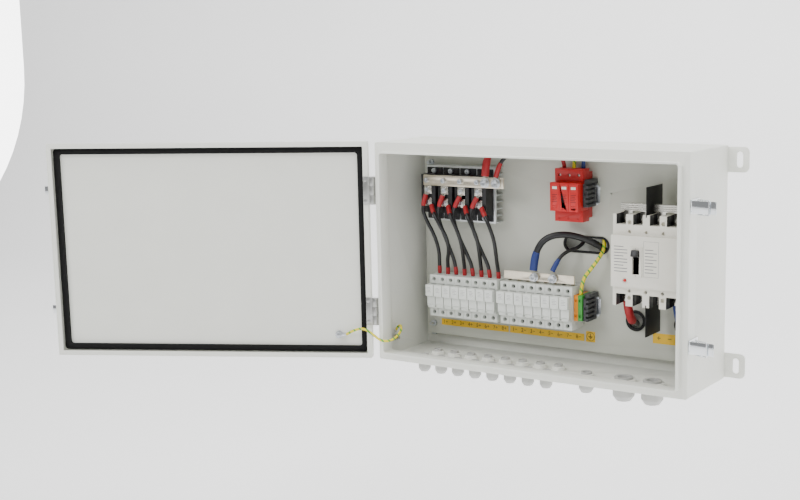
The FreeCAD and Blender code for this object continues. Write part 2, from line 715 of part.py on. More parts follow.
def door_fixings():
    x = door_near + 63.5
    z = -half_height + 40
    stud = rod("door_stud", (x, skin_inside, z), "y", 13, 3)
    nut = cut("door_nut", hexagon("door_nut_blank", (x, skin_inside + 5.2, z), "y", 5, 6),
              rod("door_nut_bore", (x, skin_inside + 5, z), "y", 6, 3.05))
    washer = cut("door_washer", rod("door_washer_blank", (x, skin_inside + 0.4, z), "y", 1.2, 7),
                 rod("door_washer_bore", (x, skin_inside, z), "y", 2, 3.05))
    eye = cut("door_lug", fuse("door_lug_blank",
                               rod("door_lug_eye", (x, skin_inside + 1.8, z), "y", 2.2, 6.2),
                               block("door_lug_tail", (x - 13, x), (skin_inside + 1.8, skin_inside + 4),
                                     (z - 3, z + 3))),
              rod("door_lug_bore", (x, skin_inside + 1, z), "y", 4, 3.05))
    hang("door_fixings", group("door_stud_set", stud, nut, washer, eye))


# ---- toggle latches ----------------------------------------------------------------------
# Drawn about the lever pivot with the lever open, pointing straight out from the side wall.

latch_x = half_width + s.latch_out
latch_y = front + s.latch_back
bail_pivot = 6
bail_angle = -20


def latch_bases():
    wall = -s.latch_out
    plate = block("latch_plate", (wall + 0.05, wall + 1.5), (-4, 32), (-11, 11))
    ears = [block("latch_ear", (wall + 1, 2.2), (-3.2, 3.2), (low, low + 1.6)) for low in (-7.6, 6)]
    pin = rod("latch_pin", (0, 0, -s.lever_half - 0.4), "z", 2 * s.lever_half + 0.8, 1.5)
    rivets = [rod("latch_rivet", (wall + 1.5, 24, step), "x", 1, 2.4) for step in (-6.65, 6.65)]
    unit = fuse("latch_base", plate, *ears, pin, *rivets)
    node(copies("latch_bases", unit, [(latch_x, latch_y, end * latch_z) for end in (-1, 1)]),
         "latch_bases")


def latch_levers():
    half = s.lever_half
    face = block("lever_face", (-2.2, s.latch_arm - 6), (-5.5, -4.1), (-half, half))
    tip = rod("lever_tip", (s.latch_arm - 6, -8.3, -half), "z", 2 * half, 4.2)
    tip_core = rod("lever_tip_core", (s.latch_arm - 6, -8.3, -half - 1), "z", 2 * half + 2, 2.8)
    tip_keep = block("lever_tip_keep", (s.latch_arm - 6, s.latch_arm), (-8.5, -3), (-half - 1, half + 1))
    curl = common("lever_curl", cut("lever_tip_shell", tip, tip_core), tip_keep)
    cheeks = [block("lever_cheek", (-2.2, 20), (-5.5, 2.7), (low, low + 1.5)) for low in (-half, half - 1.5)]
    bores = [rod("lever_pin_bore", (0, 0, -half - 1), "z", 2 * half + 2, 1.53),
             rod("lever_bail_bore", (bail_pivot, 0, -half - 1), "z", 2 * half + 2, s.bail_wire + 0.03)]
    lever = cut("latch_lever", fuse("lever_blank", face, curl, *cheeks), *bores)
    for name, end in (("upper", 1), ("lower", -1)):
        node(copies("latch_lever_" + name, lever, [(latch_x, latch_y, end * latch_z)]),
             "latch_lever_" + name)

    arm_z = half + 1.6
    wire = s.bail_wire
    parts = []
    for end in (-1, 1):
        arm = doc.addObject("Part::Cylinder", "bail_arm")
        bind(arm, "Height", s.bail_reach)
        bind(arm, "Radius", wire)
        at(arm, 0, 0, end * arm_z, V(0, 1, 0), 90)
        parts.append(arm)
        parts.append(ball("bail_bend", (s.bail_reach, 0, end * arm_z), wire))
        parts.append(ball("bail_turn", (0, 0, end * arm_z), wire))
        parts.append(rod("bail_pin", (0, 0, half - 2 if end > 0 else -arm_z), "z", arm_z - half + 2,
                         wire))
    parts.append(rod("bail_bar", (s.bail_reach, 0, -arm_z), "z", 2 * arm_z, wire))
    bail = fuse("latch_bail", *parts)
    for name, end in (("upper", 1), ("lower", -1)):
        node(copies("latch_bail_" + name, bail,
                    [(latch_x + bail_pivot, latch_y, end * latch_z, V(0, 0, 1), bail_angle)]),
             "latch_bail_" + name)


# ---- rails and their end clamps ----------------------------------------------------------

def hat_rail(name, left, right, z):
    body = design_body(name)
    half = s.rail_height / 2
    inner = half - 4
    gauge = s.rail_gauge
    profile = sketch(body, name + "_outline", "YZ_Plane", left)
    outline(profile, [(panel_front, z - inner - gauge), (panel_front, z + inner + gauge),
                      (rail_front + gauge, z + inner + gauge), (rail_front + gauge, z + half),
                      (rail_front, z + half), (rail_front, z + inner),
                      (panel_front - gauge, z + inner), (panel_front - gauge, z - inner),
                      (rail_front, z - inner), (rail_front, z - half),
                      (rail_front + gauge, z - half), (rail_front + gauge, z - inner - gauge)])
    pad(body, profile, right - left, name + "_pad")
    return body


def din_rails():
    node(group("din_rails",
               hat_rail("fuse_rail", s.fuse_rail_left, s.fuse_rail_right, s.fuse_rail_z),
               hat_rail("spd_rail", s.spd_rail_left, s.spd_rail_right, s.spd_rail_z)), "din_rails")


def rail_end_clamps():
    clear = 0.3
    pieces = []
    for x, z, front_y in ((spd_right + 1, s.spd_rail_z + 4, -66),
                          (earth_right + 0.8, s.fuse_rail_z + 2, -68)):
        low, high = z - 23, z + 24
        slab = block("clamp_slab", (x, x + 9.5), (front_y, rail_front - clear), (low, high))
        foot = block("clamp_foot", (x, x + 9.5), (rail_front - 3, panel_front - 1),
                     (z + 15.6, high))
        notches = [block("clamp_notch", (x + 4.5, x + 10.5), (front_y - 1, front_y + 26),
                         (low + 5 + 8 * k, low + 9 + 8 * k))
                   for k in range(5)]
        notches.append(block("clamp_shoulder", (x - 1, x + 10.5), (front_y - 1, front_y + 5),
                             (high - 7, high + 1)))
        bore = rod("clamp_bore", (x + 4.7, front_y - 1, z), "y", 7, 3)
        screw = rod("clamp_screw", (x + 4.7, front_y + 2, z), "y", 3.6, 2.8)
        pieces += [cut("clamp_body", fuse("clamp", slab, foot), *notches, bore), screw]
    node(group("rail_end_clamps", *pieces), "rail_end_clamps")


# ---- fuse holders ------------------------------------------------------------------------
# Each is drawn at X = 0; the carrier is drawn about its pivot.

fuse_bottom = s.fuse_rail_z - s.fuse_height / 2
fuse_top = s.fuse_rail_z + s.fuse_height / 2
pivot_y = -s.fuse_pivot_y
pivot_z = s.fuse_rail_z - s.fuse_pivot_drop
upper_screw_z = fuse_top - 7.6
lower_screw_z = fuse_bottom + 7.4
pos_fuse_xs = [s.pos_fuse_x + s.fuse_pitch * k for k in range(8)]
neg_fuse_xs = [s.neg_fuse_x + s.fuse_pitch * k for k in range(8)]
spd_right = s.spd_left + 3 * s.spd_pole
earth_left = 50.5
earth_right = 66.5


def fuse_base_shape():
    half = s.fuse_width / 2
    cheek_front = pivot_y + 0.5
    slot_half = 7.1
    main = block("holder_main", (-half, half), (-s.fuse_front, rail_front - 0.3), (fuse_bottom, fuse_top))
    cheeks = [block("holder_cheek", (low, low + half - slot_half), (cheek_front, -s.fuse_front + 1),
                    (pivot_z - 1.5, pivot_z + s.carrier_height + 0.3)) for low in (-half, slot_half)]
    cavity = block("holder_cavity", (-slot_half, slot_half), (cheek_front - 1, -58),
                   (pivot_z - 1.5, pivot_z + s.carrier_height + 0.3))
    feet = [block("holder_foot", (-half, half), (rail_front - 1, panel_front - 1),
                  (s.fuse_rail_z + s.rail_height / 2 + 0.3, fuse_top - 6)),
            block("holder_foot", (-half, half), (rail_front - 1, panel_front - 1),
                  (fuse_bottom + 6, s.fuse_rail_z - s.rail_height / 2 - 0.3))]
    wells = [rod("holder_screw_well", (0, -s.fuse_front - 1, z), "y", 17.5, 3.8)
             for z in (upper_screw_z, lower_screw_z)]
    mouth_top = block("holder_top_mouth", (-3.6, 3.6), (s.wire_entry_y - 3.6, s.wire_entry_y + 3.6),
                      (fuse_top - 13, fuse_top + 1))
    mouth_bottom = block("holder_bottom_mouth", (-3.6, 3.6),
                         (s.wire_entry_y - 3.6, s.wire_entry_y + 3.6),
                         (fuse_bottom - 1, fuse_bottom + 13))
    hollow = cut("holder_hollow", fuse("holder_blank", main, *feet, *cheeks), cavity, *wells,
                 mouth_top, mouth_bottom)
    ears = [rod("holder_ear", (low, pivot_y, pivot_z), "x", half - slot_half, 2.6)
            for low in (-half, slot_half)]
    pin = rod("holder_pin", (-half, pivot_y, pivot_z), "x", s.fuse_width, 1.2)
    return fuse("fuse_base", hollow, *ears, pin)


def fuse_holders():
    base = fuse_base_shape()
    node(copies("fuse_bases", base, [(x, 0, 0) for x in pos_fuse_xs + neg_fuse_xs]), "fuse_bases")

    screws = []
    for z in (upper_screw_z, lower_screw_z):
        head = rod("terminal_head", (0, -s.fuse_front + 8, z), "y", 2.4, 3.5)
        slit = block("terminal_slit", (-4, 4), (-s.fuse_front + 7, -s.fuse_front + 9), (z - 0.5, z + 0.5))
        shank = rod("terminal_shank", (0, -s.fuse_front + 10.4, z), "y", 5, 1.9)
        screws.append(fuse("terminal_screw", cut("terminal_slotted", head, slit), shank))
    unit = group("terminal_pair", *screws)
    node(copies("fuse_terminals", unit, [(x, 0, 0) for x in pos_fuse_xs + neg_fuse_xs]),
         "fuse_terminals")


def fuse_carriers():
    front_y = s.fuse_pivot_y - s.carrier_front
    grip_y = s.fuse_pivot_y - s.carrier_grip
    tall = s.carrier_height
    half = 8
    narrow = 6.8
    step = s.carrier_height / 2 + 0.5                      # where the head meets the grip below it
    grip = block("carrier_grip", (-half, half), (grip_y, -0.5), (4, step - 0.6))
    waist = block("carrier_waist", (-half, half), (grip_y + 3.5, -0.5), (step - 1, step + 1))
    head = block("carrier_head", (-half, half), (front_y, -0.5), (step, tall))
    root = block("carrier_root", (-narrow, narrow), (grip_y + 1, 0.3), (0.2, 5))
    hub = rod("carrier_hub", (-narrow, 0, 0), "x", 2 * narrow, 2.6)
    plate = block("carrier_plate", (-narrow, narrow), (-1, 3), (0.3, 38))
    cheeks = [block("carrier_cheek", (low, low + 1.3), (-1, 14), (2, 37)) for low in (-narrow,
                                                                                      narrow - 1.3)]
    bore = rod("carrier_bore", (-narrow - 1, 0, 0), "x", 2 * narrow + 2, 1.25)
    window = block("carrier_window", (-6.4, 6.4), (grip_y - 1, grip_y + 1.5), (5, 6.4))
    body = cut("carrier_body", fuse("carrier_blank", grip, waist, head, root, hub, plate, *cheeks),
               bore, window)
    cartridge = rod("fuse_link", (0, 3.2 + s.fuse_link_radius, 1.5), "z", 36, s.fuse_link_radius)
    unit = group("fuse_carrier", body, cartridge)
    for word, places in (("pos", pos_fuse_xs), ("neg", neg_fuse_xs)):
        for k, x in enumerate(places, start=1):
            name = "%s_fuse_carrier_%d" % (word, k)
            node(copies(name, unit, [(x, pivot_y, pivot_z)]), name)


def negative_busbar():
    bar_y = -69
    bar = block("comb_bar", (s.neg_bar_left, s.neg_bar_right), (bar_y, bar_y + 2.5),
                (s.neg_bar_bottom, s.neg_bar_top))
    teeth = []
    for x in neg_fuse_xs:
        teeth.append(block("comb_step", (x - 3, x + 3), (bar_y, s.wire_entry_y + 1),
                           (s.neg_bar_bottom, s.neg_bar_bottom + 2)))
        teeth.append(block("comb_tooth", (x - 3, x + 3), (s.wire_entry_y - 1, s.wire_entry_y + 1),
                           (fuse_top - 12, s.neg_bar_bottom + 2)))
    holes = [rod("comb_hole", (x, bar_y - 1, s.neg_bar_top - 7.2), "y", 5, 3.1) for x in neg_bolt_xs]
    node(cut("negative_busbar", fuse("comb", bar, *teeth), *holes), "negative_busbar")


neg_bolt_xs = (-27, 10)
pos_bolt_xs = (-116.7, -94.4)
diode_xs = [s.diode_x + s.diode_pitch * k for k in range(4)]
diode_back = panel_front - s.sink_depth
diode_face = diode_back - s.diode_height + 3
pad_face = diode_face - 2
pos_bar_back = pad_face


# ---- diode assembly ----------------------------------------------------------------------

def heat_sink():
    body = design_body("sink_body")
    profile = sketch(body, "sink_outline", "YZ_Plane", s.diode_x + 1.5 * s.diode_pitch - s.sink_width / 2)
    low = s.diode_z - s.sink_height / 2
    fins = 9
    fin = 3
    pitch = (s.sink_height - fin) / (fins - 1)
    plate_back = diode_back + s.sink_plate
    tip = panel_front - 0.1
    corners = [(diode_back, low), (tip, low)]
    for k in range(fins):
        top = low + pitch * k + fin
        corners.append((tip, top))
        if k < fins - 1:
            corners += [(plate_back, top), (plate_back, top + pitch - fin), (tip, top + pitch - fin)]
    corners.append((diode_back, low + s.sink_height))
    outline(profile, corners)
    pad(body, profile, s.sink_width, "sink_pad")
    node(body, "heat_sink")


def diode_modules():
    half = s.diode_width / 2
    z = s.diode_z
    plate = block("diode_plate", (-half, half), (diode_back - 3, diode_back - 0.1),
                  (z - s.diode_length / 2, z + s.diode_length / 2))
    housing = block("diode_housing", (-half + 1, half - 1), (diode_face, diode_back - 2.5),
                    (z - 33, z + 36))
    pads = [block("diode_pad", (-7.5, 7.5), (pad_face, diode_face + 1), (pad_z - 7.5, pad_z + 7.5))
            for pad_z in (s.pos_bar_z, s.terminal_upper_z, s.terminal_lower_z)]
    holes = [rod("diode_pad_hole", (0, pad_face - 1, pad_z), "y", 8, 2.6)
             for pad_z in (s.pos_bar_z, s.terminal_upper_z, s.terminal_lower_z)]
    ears = [rod("diode_ear_hole", (0, diode_back - 4, z + end * 41), "y", 5, 2.7) for end in (-1, 1)]
    shape = cut("diode_module", fuse("diode_blank", plate, housing, *pads), *holes, *ears)
    node(copies("diode_modules", shape, [(x, 0, 0) for x in diode_xs]), "diode_modules")


def positive_busbar():
    bar = block("pos_bar", (s.pos_bar_left, s.pos_bar_right),
                (pos_bar_back - s.bar_thick, pos_bar_back - 0.05),
                (s.pos_bar_z - s.pos_bar_height / 2, s.pos_bar_z + s.pos_bar_height / 2))
    holes = [rod("pos_bar_hole", (x, pos_bar_back - s.bar_thick - 1, s.pos_bar_z), "y", s.bar_thick + 2,
                 2.7)
             for x in diode_xs]
    holes += [rod("pos_bolt_hole", (x, pos_bar_back - s.bar_thick - 1, s.pos_bar_z), "y",
                  s.bar_thick + 2, 4.1) for x in pos_bolt_xs]
    node(cut("positive_busbar", bar, *holes), "positive_busbar")


def socket_screw(name, x, y, z, head_radius, head, shank_radius, shank):
    top = rod(name + "_head", (x, y - head, z), "y", head, head_radius)
    socket = hexagon(name + "_socket", (x, y - head - 1, z), "y", 1 + 0.6 * head, head_radius * 0.5)
    stem = rod(name + "_shank", (x, y - 0.5, z), "y", shank + 0.5, shank_radius)
    return fuse(name, cut(name + "_cap", top, socket), stem)


def cross_bolt(name, x, front_y, z, head_radius, washer_radius, shank_radius, shank):
    """A hexagon bolt with a cross recess, over a spring washer and a flat washer."""
    head = hexagon(name + "_head", (x, front_y, z), "y", 4.5, head_radius)
    arm = head_radius * 0.45
    recess = [block(name + "_recess_wide", (x - arm, x + arm), (front_y - 1, front_y + 1.6),
                    (z - 0.8, z + 0.8)),
              block(name + "_recess_tall", (x - 0.8, x + 0.8), (front_y - 1, front_y + 1.6),
                    (z - arm, z + arm))]
    spring = rod(name + "_spring", (x, front_y + 4.5, z), "y", 1.2, head_radius * 0.93)
    washer = rod(name + "_washer", (x, front_y + 5.7, z), "y", 1.3, washer_radius)
    stem = rod(name + "_stem", (x, front_y + 4, z), "y", shank + 3, shank_radius)
    return fuse(name, cut(name + "_crossed", head, *recess), spring, washer, stem)


def busbar_bolts():
    pieces = []
    bar_front = pos_bar_back - s.bar_thick
    lug = 1.8
    for x in diode_xs:
        pieces.append(socket_screw("bar_screw", x, bar_front - 0.1, s.pos_bar_z, 4.6, 3.4, 2.5,
                                   s.bar_thick + 4))
        for z in (s.terminal_upper_z, s.terminal_lower_z):
            pieces.append(socket_screw("lug_screw", x, pad_face - lug - 0.1, z, 4.1, 2.2, 2.5, 5))
        for end in (-1, 1):
            pieces.append(socket_screw("ear_screw", x, diode_back - 3.1, s.diode_z + end * 41, 4.6, 4,
                                       2.4, 3))
    for x in pos_bolt_xs:
        front_y = bar_front - 8.9
        bolt = cross_bolt("bar_bolt", x, front_y, s.pos_bar_z, 7.2, 8.8, 3.9,
                          pos_bar_back + 1.8 - front_y - 7)
        clinch = rod("bar_clinch", (x, pos_bar_back + 0.1, s.pos_bar_z), "y", 1.7, 6.2)
        pieces.append(fuse("bar_bolt_set", bolt, clinch))
    for x in neg_bolt_xs:
        z = s.neg_bar_top - 7.2
        bolt = cross_bolt("comb_bolt", x, -78.7, z, 6.8, 7.8, 3, 10.5)
        nut = hexagon("comb_bolt_nut", (x, -66.4, z), "y", 4, 5.8)
        pieces.append(fuse("comb_bolt_set", bolt, nut))
    node(group("busbar_bolts", *pieces), "busbar_bolts")


# ---- surge protector ---------------------------------------------------------------------

spd_bottom = s.spd_rail_z - 45.3
spd_top = spd_bottom + s.spd_height
module_low = s.spd_rail_z - 25.5
module_high = module_low + s.spd_module_height
spd_pole_xs = [s.spd_left + s.spd_pole * (k + 0.5) for k in range(3)]
spd_wire_y = -45


def surge_protector():
    rear = block("spd_rear", (s.spd_left, spd_right), (-44, rail_front - 0.3),
                 (spd_bottom + 6, spd_top - 6))
    lower = block("spd_lower", (s.spd_left, spd_right), (-s.spd_front, -40),
                  (spd_bottom, module_low - 0.4))
    upper = block("spd_upper", (s.spd_left, spd_right), (-s.spd_front, -40), (module_high + 0.4, spd_top))
    foot = block("spd_foot", (s.spd_left, spd_right), (rail_front - 2, panel_front - 1),
                 (s.spd_rail_z + s.rail_height / 2 + 0.3, spd_top - 6))
    toe = block("spd_toe", (s.spd_left, spd_right), (rail_front - 2, panel_front - 1),
                (spd_bottom + 6, s.spd_rail_z - s.rail_height / 2 - 0.3))
    tools = []
    mouth_radius = dimensions["surge_wire"] / 2 + 0.5
    for x in spd_pole_xs:
        tools.append(rod("spd_screw_well", (x, -s.spd_front - 1, spd_top - 11), "y", 9, 2.8))
        tools.append(rod("spd_wire_mouth", (x, spd_wire_y, spd_top - 9), "z", 11, mouth_radius))
        tools.append(rod("spd_mark", (x, -s.spd_front - 1, spd_bottom + 6), "y", 2, 2.4))
        tools.append(block("spd_contact_slot", (x - 2, x + 2), (-45, -37),
                           (s.spd_rail_z - 12, s.spd_rail_z + 10)))
    screws = [rod("spd_screw", (x, -s.spd_front + 3, spd_top - 11), "y", 4.6, 2.6) for x in spd_pole_xs]
    body = cut("spd_body", fuse("spd_blank", rear, lower, upper, foot, toe), *tools)
    node(group("spd_base", body, *screws), "spd_base")

    half = s.spd_pole / 2 - 0.2
    face = block("module_face", (-half, half), (-s.spd_module_front, -44.4), (module_low, module_high))
    blade = block("module_blade", (-1.2, 1.2), (-45, -38), (s.spd_rail_z - 10, s.spd_rail_z + 8))
    window = block("module_window", (-4.5, 4.5), (-s.spd_module_front - 1, -s.spd_module_front + 0.8),
                   (module_high - 12, module_high - 6))
    grips = [block("module_grip", (-4, 4), (-s.spd_module_front - 1, -s.spd_module_front + 1),
                   (module_low + 3 + 3 * k, module_low + 4.4 + 3 * k)) for k in range(3)]
    module = cut("spd_module", fuse("module_blank", face, blade), window, *grips)
    for k, x in enumerate(spd_pole_xs, start=1):
        name = "spd_module_%d" % k
        node(copies(name, module, [(x, 0, 0)]), name)


# ---- earth terminal ----------------------------------------------------------------------

def earth_terminal():
    pieces = []
    z = s.fuse_rail_z
    low, high = z - 20.8, z + 24.2
    for x in (earth_left, (earth_left + earth_right) / 2):
        slab = block("earth_slab", (x + 0.1, x + 7.9), (-71, rail_front - 0.3), (low, high))
        foot = block("earth_foot", (x + 0.1, x + 7.9), (rail_front - 2, panel_front - 1),
                     (z + 17.8, high))
        well = [rod("earth_well", (x + 4, -72, z + step), "y", 8, 2.7) for step in (-12, 15)]
        mouth = block("earth_mouth", (x + 1.2, x + 6.8), (-63.3, -56.7), (high - 8, high + 1))
        screws = [rod("earth_screw", (x + 4, -68.5, z + step), "y", 4.4, 2.5) for step in (-12, 15)]
        pieces += [cut("earth_block", fuse("earth_blank", slab, foot), mouth, *well), *screws]
    node(group("earth_terminal", *pieces), "earth_terminal")


# ---- breaker -----------------------------------------------------------------------------

breaker_right = s.breaker_left + 4 * s.pole_pitch
pole_xs = [s.breaker_left + s.pole_pitch * (k + 0.5) for k in range(4)]
middle_x = s.breaker_left + 2 * s.pole_pitch
escutcheon_x = s.breaker_left + 46
trip_x = s.breaker_left + 25.6
trip_z = -22.8
bridge_z = breaker_top + 3.5


def breaker():
    groove = [block("barrier_groove", (middle_x - 1, middle_x + 1), (-s.breaker_front - 1, -38),
                    (breaker_top - 4, breaker_top + 1)),
              block("barrier_groove", (middle_x - 1, middle_x + 1), (-s.breaker_front - 1, -38),
                    (s.breaker_bottom - 1, s.breaker_bottom + 4))]
    base = block("base_block", (s.breaker_left, breaker_right), (-s.breaker_joint, panel_front - 0.1),
                 (s.breaker_bottom, breaker_top))
    pockets = []
    for x in pole_xs:
        for zs in ((breaker_top - 18, breaker_top + 1), (s.breaker_bottom - 1, s.breaker_bottom + 20.5)):
            pockets.append(block("pole_pocket", (x - 9.5, x + 9.5), (-s.breaker_joint - 1, -68), zs))
    handle_room = block("handle_room", (escutcheon_x - 10, escutcheon_x + 10),
                        (-s.breaker_joint - 1, -56),
                        (-24, 46))
    trip_room = rod("trip_room", (trip_x, -s.breaker_joint - 1, trip_z), "y", 12, 4)
    body = cut("base_body", base, *pockets, handle_room, trip_room, *groove)
    shaft = rod("handle_shaft", (escutcheon_x - 10, -s.handle_pivot, s.handle_z), "x", 20, 2)
    plates = [block("pole_plate", (x - 8, x + 8), (-72.5, -69), zs) for x in pole_xs
              for zs in ((breaker_top - 17.9, breaker_top - 1),
                         (s.breaker_bottom + 1, s.breaker_bottom + 20.4))]
    links = [block("pole_seat", (x - 8, x + 8), (-69.5, -67), zs) for x in pole_xs
             for zs in ((breaker_top - 17.9, breaker_top - 1),
                        (s.breaker_bottom + 1, s.breaker_bottom + 20.4))]
    node(fuse("mccb_base", body, shaft, *plates, *links), "mccb_base")

    raised = block("cover_raised", (s.breaker_left + 0.2, breaker_right - 0.2),
                   (-s.cover_front, -s.breaker_joint - 0.1),
                   (s.cover_bottom, s.cover_top))
    low_part = block("cover_low", (s.breaker_left, breaker_right),
                     (-s.breaker_front, -s.breaker_joint - 0.1),
                     (s.breaker_bottom, breaker_top))
    frame_part = block("escutcheon", (escutcheon_x - 10.8, escutcheon_x + 10.8),
                       (-s.cover_front - 2, -s.cover_front + 1),
                       (-15.5, 34))
    tools = [block("handle_slot", (escutcheon_x - 6.2, escutcheon_x + 6.2),
                   (-s.cover_front - 3, -s.breaker_joint),
                   (-11.5, 29.5)),
             block("handle_sweep", (escutcheon_x - 9.5, escutcheon_x + 9.5),
                   (-s.cover_front + 3, -s.breaker_joint + 1),
                   (-22, 44)),
             rod("trip_bore", (trip_x, -s.cover_front - 1, trip_z), "y", 30, 2.7),
             rod("trip_seat", (trip_x, -s.cover_front - 1, trip_z), "y", 2, 4.4)]
    slot_depth = (-s.breaker_front - 1, -s.breaker_joint)
    for x in pole_xs:
        tools.append(block("pole_slot", (x - 8.7, x + 8.7), slot_depth,
                           (breaker_top - 17, breaker_top + 1)))
        tools.append(block("pole_slot", (x - 8.7, x + 8.7), slot_depth,
                           (s.breaker_bottom - 1, s.breaker_bottom + 20.5)))
    screw_places = []
    for k in range(1, 4):
        x = s.breaker_left + s.pole_pitch * k
        screw_places += [(x, breaker_top - 28.5, 2.9), (x, s.breaker_bottom + 26, 2.9)]
        if k != 2:                                         # the middle bosses carry the barriers
            screw_places += [(x, breaker_top - 13, 3.8), (x, s.breaker_bottom + 14.5, 3.8)]
    for x, z, radius in screw_places:
        tools.append(rod("cover_screw_well", (x, -s.breaker_front - 1, z), "y", 11, radius))
    cover = cut("cover_body", fuse("cover_blank", raised, low_part, frame_part), *tools, *groove)
    heads = [rod("cover_screw", (x, -s.breaker_front + 6, z), "y", 3.9, radius - 0.2)
             for x, z, radius in screw_places]
    node(group("mccb_cover", cover, *heads), "mccb_cover")

    half = s.barrier_thick / 2
    sheets = [block("barrier_top", (middle_x - half, middle_x + half), (-s.breaker_front, -40),
                    (breaker_top - 3.8, breaker_top - 3.8 + s.barrier_length - 4)),
              block("barrier_bottom", (middle_x - half, middle_x + half), (-s.breaker_front, -44),
                    (s.breaker_bottom + 3.8 - s.barrier_length, s.breaker_bottom + 3.8))]
    node(group("mccb_barriers", *sheets), "mccb_barriers")

    bridges = []
    for first in (0, 2):
        left, right = pole_xs[first], pole_xs[first + 1]
        bar = block("bridge_bar", (left - 9, right + 9), (-84, -73.5), (bridge_z, bridge_z + 13))
        ribs = [block("bridge_rib", (left - 9, right + 9), (-85.5, -83),
                      (bridge_z + 1 + 3.3 * k, bridge_z + 2.8 + 3.3 * k))
                for k in range(4)]
        tabs = [block("bridge_tab", (x - 8, x + 8), (-76.5, -73.5), (breaker_top - 16.5, bridge_z + 1))
                for x in (left, right)]
        bridges.append(fuse("bridge", bar, *ribs, *tabs))
    bolts = [socket_screw("pole_bolt", x, -76.7, breaker_top - 10, 5, 5, 2, 1) for x in pole_xs]
    bolts += [socket_screw("pole_bolt", x, -75.2, s.breaker_bottom + 14.4, 5, 5, 2, 1)
              for x in pole_xs[1:3]]
    node(group("mccb_bridges", *bridges, *bolts), "mccb_bridges")


def breaker_controls():
    tilt = s.handle_tilt
    reach = 53
    hub = rod("handle_hub", (-8.5, 0, 0), "x", 17, 6)
    arm = block("handle_arm", (-5.2, 5.2), (-44, 0), (-4.5, 4.5))
    knob = block("handle_knob", (-5.6, 5.6), (-reach, -38.5), (-5.5, 5.5))
    bore = rod("handle_bore", (-9.5, 0, 0), "x", 19, 2.05)
    shape = cut("handle", rounded("handle_round", fuse("handle_blank", hub, arm, knob), 1.5,
                                  lambda edge: edge.BoundBox.YMax < -reach + 0.01 and runs_along(edge,
                                                                                                 V(1, 0,
                                                                                                   0))),
                bore)
    node(copies("mccb_handle", shape, [(escutcheon_x, -s.handle_pivot, s.handle_z, V(1, 0, 0), -tilt)]),
         "mccb_handle")
    button = fuse("trip_button", rod("trip_stem", (trip_x, -s.cover_front - 1.2, trip_z), "y", 27.2, 2.5),
                  rod("trip_collar", (trip_x, -s.breaker_joint + 1.2, trip_z), "y", 2, 3.6))
    node(button, "mccb_trip_button")


# ---- cable glands ------------------------------------------------------------------------

outside_floor = -half_height


def gland(name, stub, cap, drop, bore, rise, plugged):
    collar_low = outside_floor - 5
    body = cut(name + "_body",
               fuse(name + "_blank",
                    hexagon(name + "_collar", (0, 0, collar_low), "z", 4.9, cap * 1.08),
                    rod(name + "_stub", (0, 0, collar_low), "z", rise + 5, stub - 0.2)),
               rod(name + "_bore", (0, 0, collar_low - 1), "z", rise + 8, bore))
    skirt_low = outside_floor - drop * 0.7
    shell = fuse(name + "_cap_blank",
                 rod(name + "_skirt", (0, 0, skirt_low), "z", drop * 0.7 - 5.1, cap),
                 taper(name + "_dome", (0, 0, outside_floor - drop), "z", drop * 0.3, cap * 0.66, cap))
    nicks = [link(name + "_nick_%d" % k,
                  block(name + "_nick_tool_%d" % k, (cap * 0.96, cap * 1.1), (-0.9, 0.9),
                  (skirt_low + 1, outside_floor - 7)), 0, 0, 0, V(0, 0, 1), 45 * k) for k in range(8)]
    nut = cut(name + "_cap", shell, *nicks,
              rod(name + "_cap_bore", (0, 0, outside_floor - drop - 1), "z", drop + 2, bore))
    pieces = [body, nut]
    if plugged:
        pieces.append(rod(name + "_disc", (0, 0, outside_floor + rise - 4), "z", 2, bore - 0.1))
    return group(name, *pieces)


def locknut(name, stub, rise, flare):
    low = floor_top + 0.1
    height = rise - s.sheet_thick - s.stub_show
    flange = rod(name + "_flange", (0, 0, low), "z", 1.6, stub * flare)
    body = hexagon(name + "_body", (0, 0, low), "z", height, stub * (flare - 0.04))
    crown = taper(name + "_crown", (0, 0, low + height - 0.1), "z", 0.9, stub * (flare - 0.2),
                  stub * (flare - 0.3))
    return cut(name, fuse(name + "_blank", flange, body, crown),
               rod(name + "_bore", (0, 0, low - 1), "z", height + 3, stub - 0.1))


def glands():
    string = gland("string_gland", s.gland_stub, s.gland_cap, s.gland_drop, s.gland_stub - 2.5,
                   s.gland_rise, True)
    node(copies("string_glands", string, [(x, y, 0) for x, y in string_gland_places]), "string_glands")
    large = gland("output_gland", s.output_stub, s.output_cap, s.output_drop, s.output_bore,
                  s.gland_rise, False)
    medium = gland("medium_gland", s.medium_stub, s.medium_cap, s.medium_drop, s.medium_bore,
                   s.gland_rise, False)
    node(group("output_glands",
               copies("large_glands", large, [(x, y, 0) for x, y in output_gland_places]),
               copies("middle_gland", medium,
                      [(x, y, 0) for x, y in medium_gland_places])), "output_glands")
    small_nut = locknut("string_locknut", s.gland_stub, s.gland_rise, 1.6)
    large_nut = locknut("output_locknut", s.output_stub, s.gland_rise, 1.45)
    medium_nut = locknut("medium_locknut", s.medium_stub, s.gland_rise, 1.5)
    node(group("gland_locknuts",
               copies("small_nuts", small_nut, [(x, y, 0) for x, y in string_gland_places]),
               copies("large_nuts", large_nut, [(x, y, 0) for x, y in output_gland_places]),
               copies("middle_nut", medium_nut,
                      [(x, y, 0) for x, y in medium_gland_places])), "gland_locknuts")


# ---- cables ------------------------------------------------------------------------------
# Route points in mm; every cable keeps its shape, held at both ends.

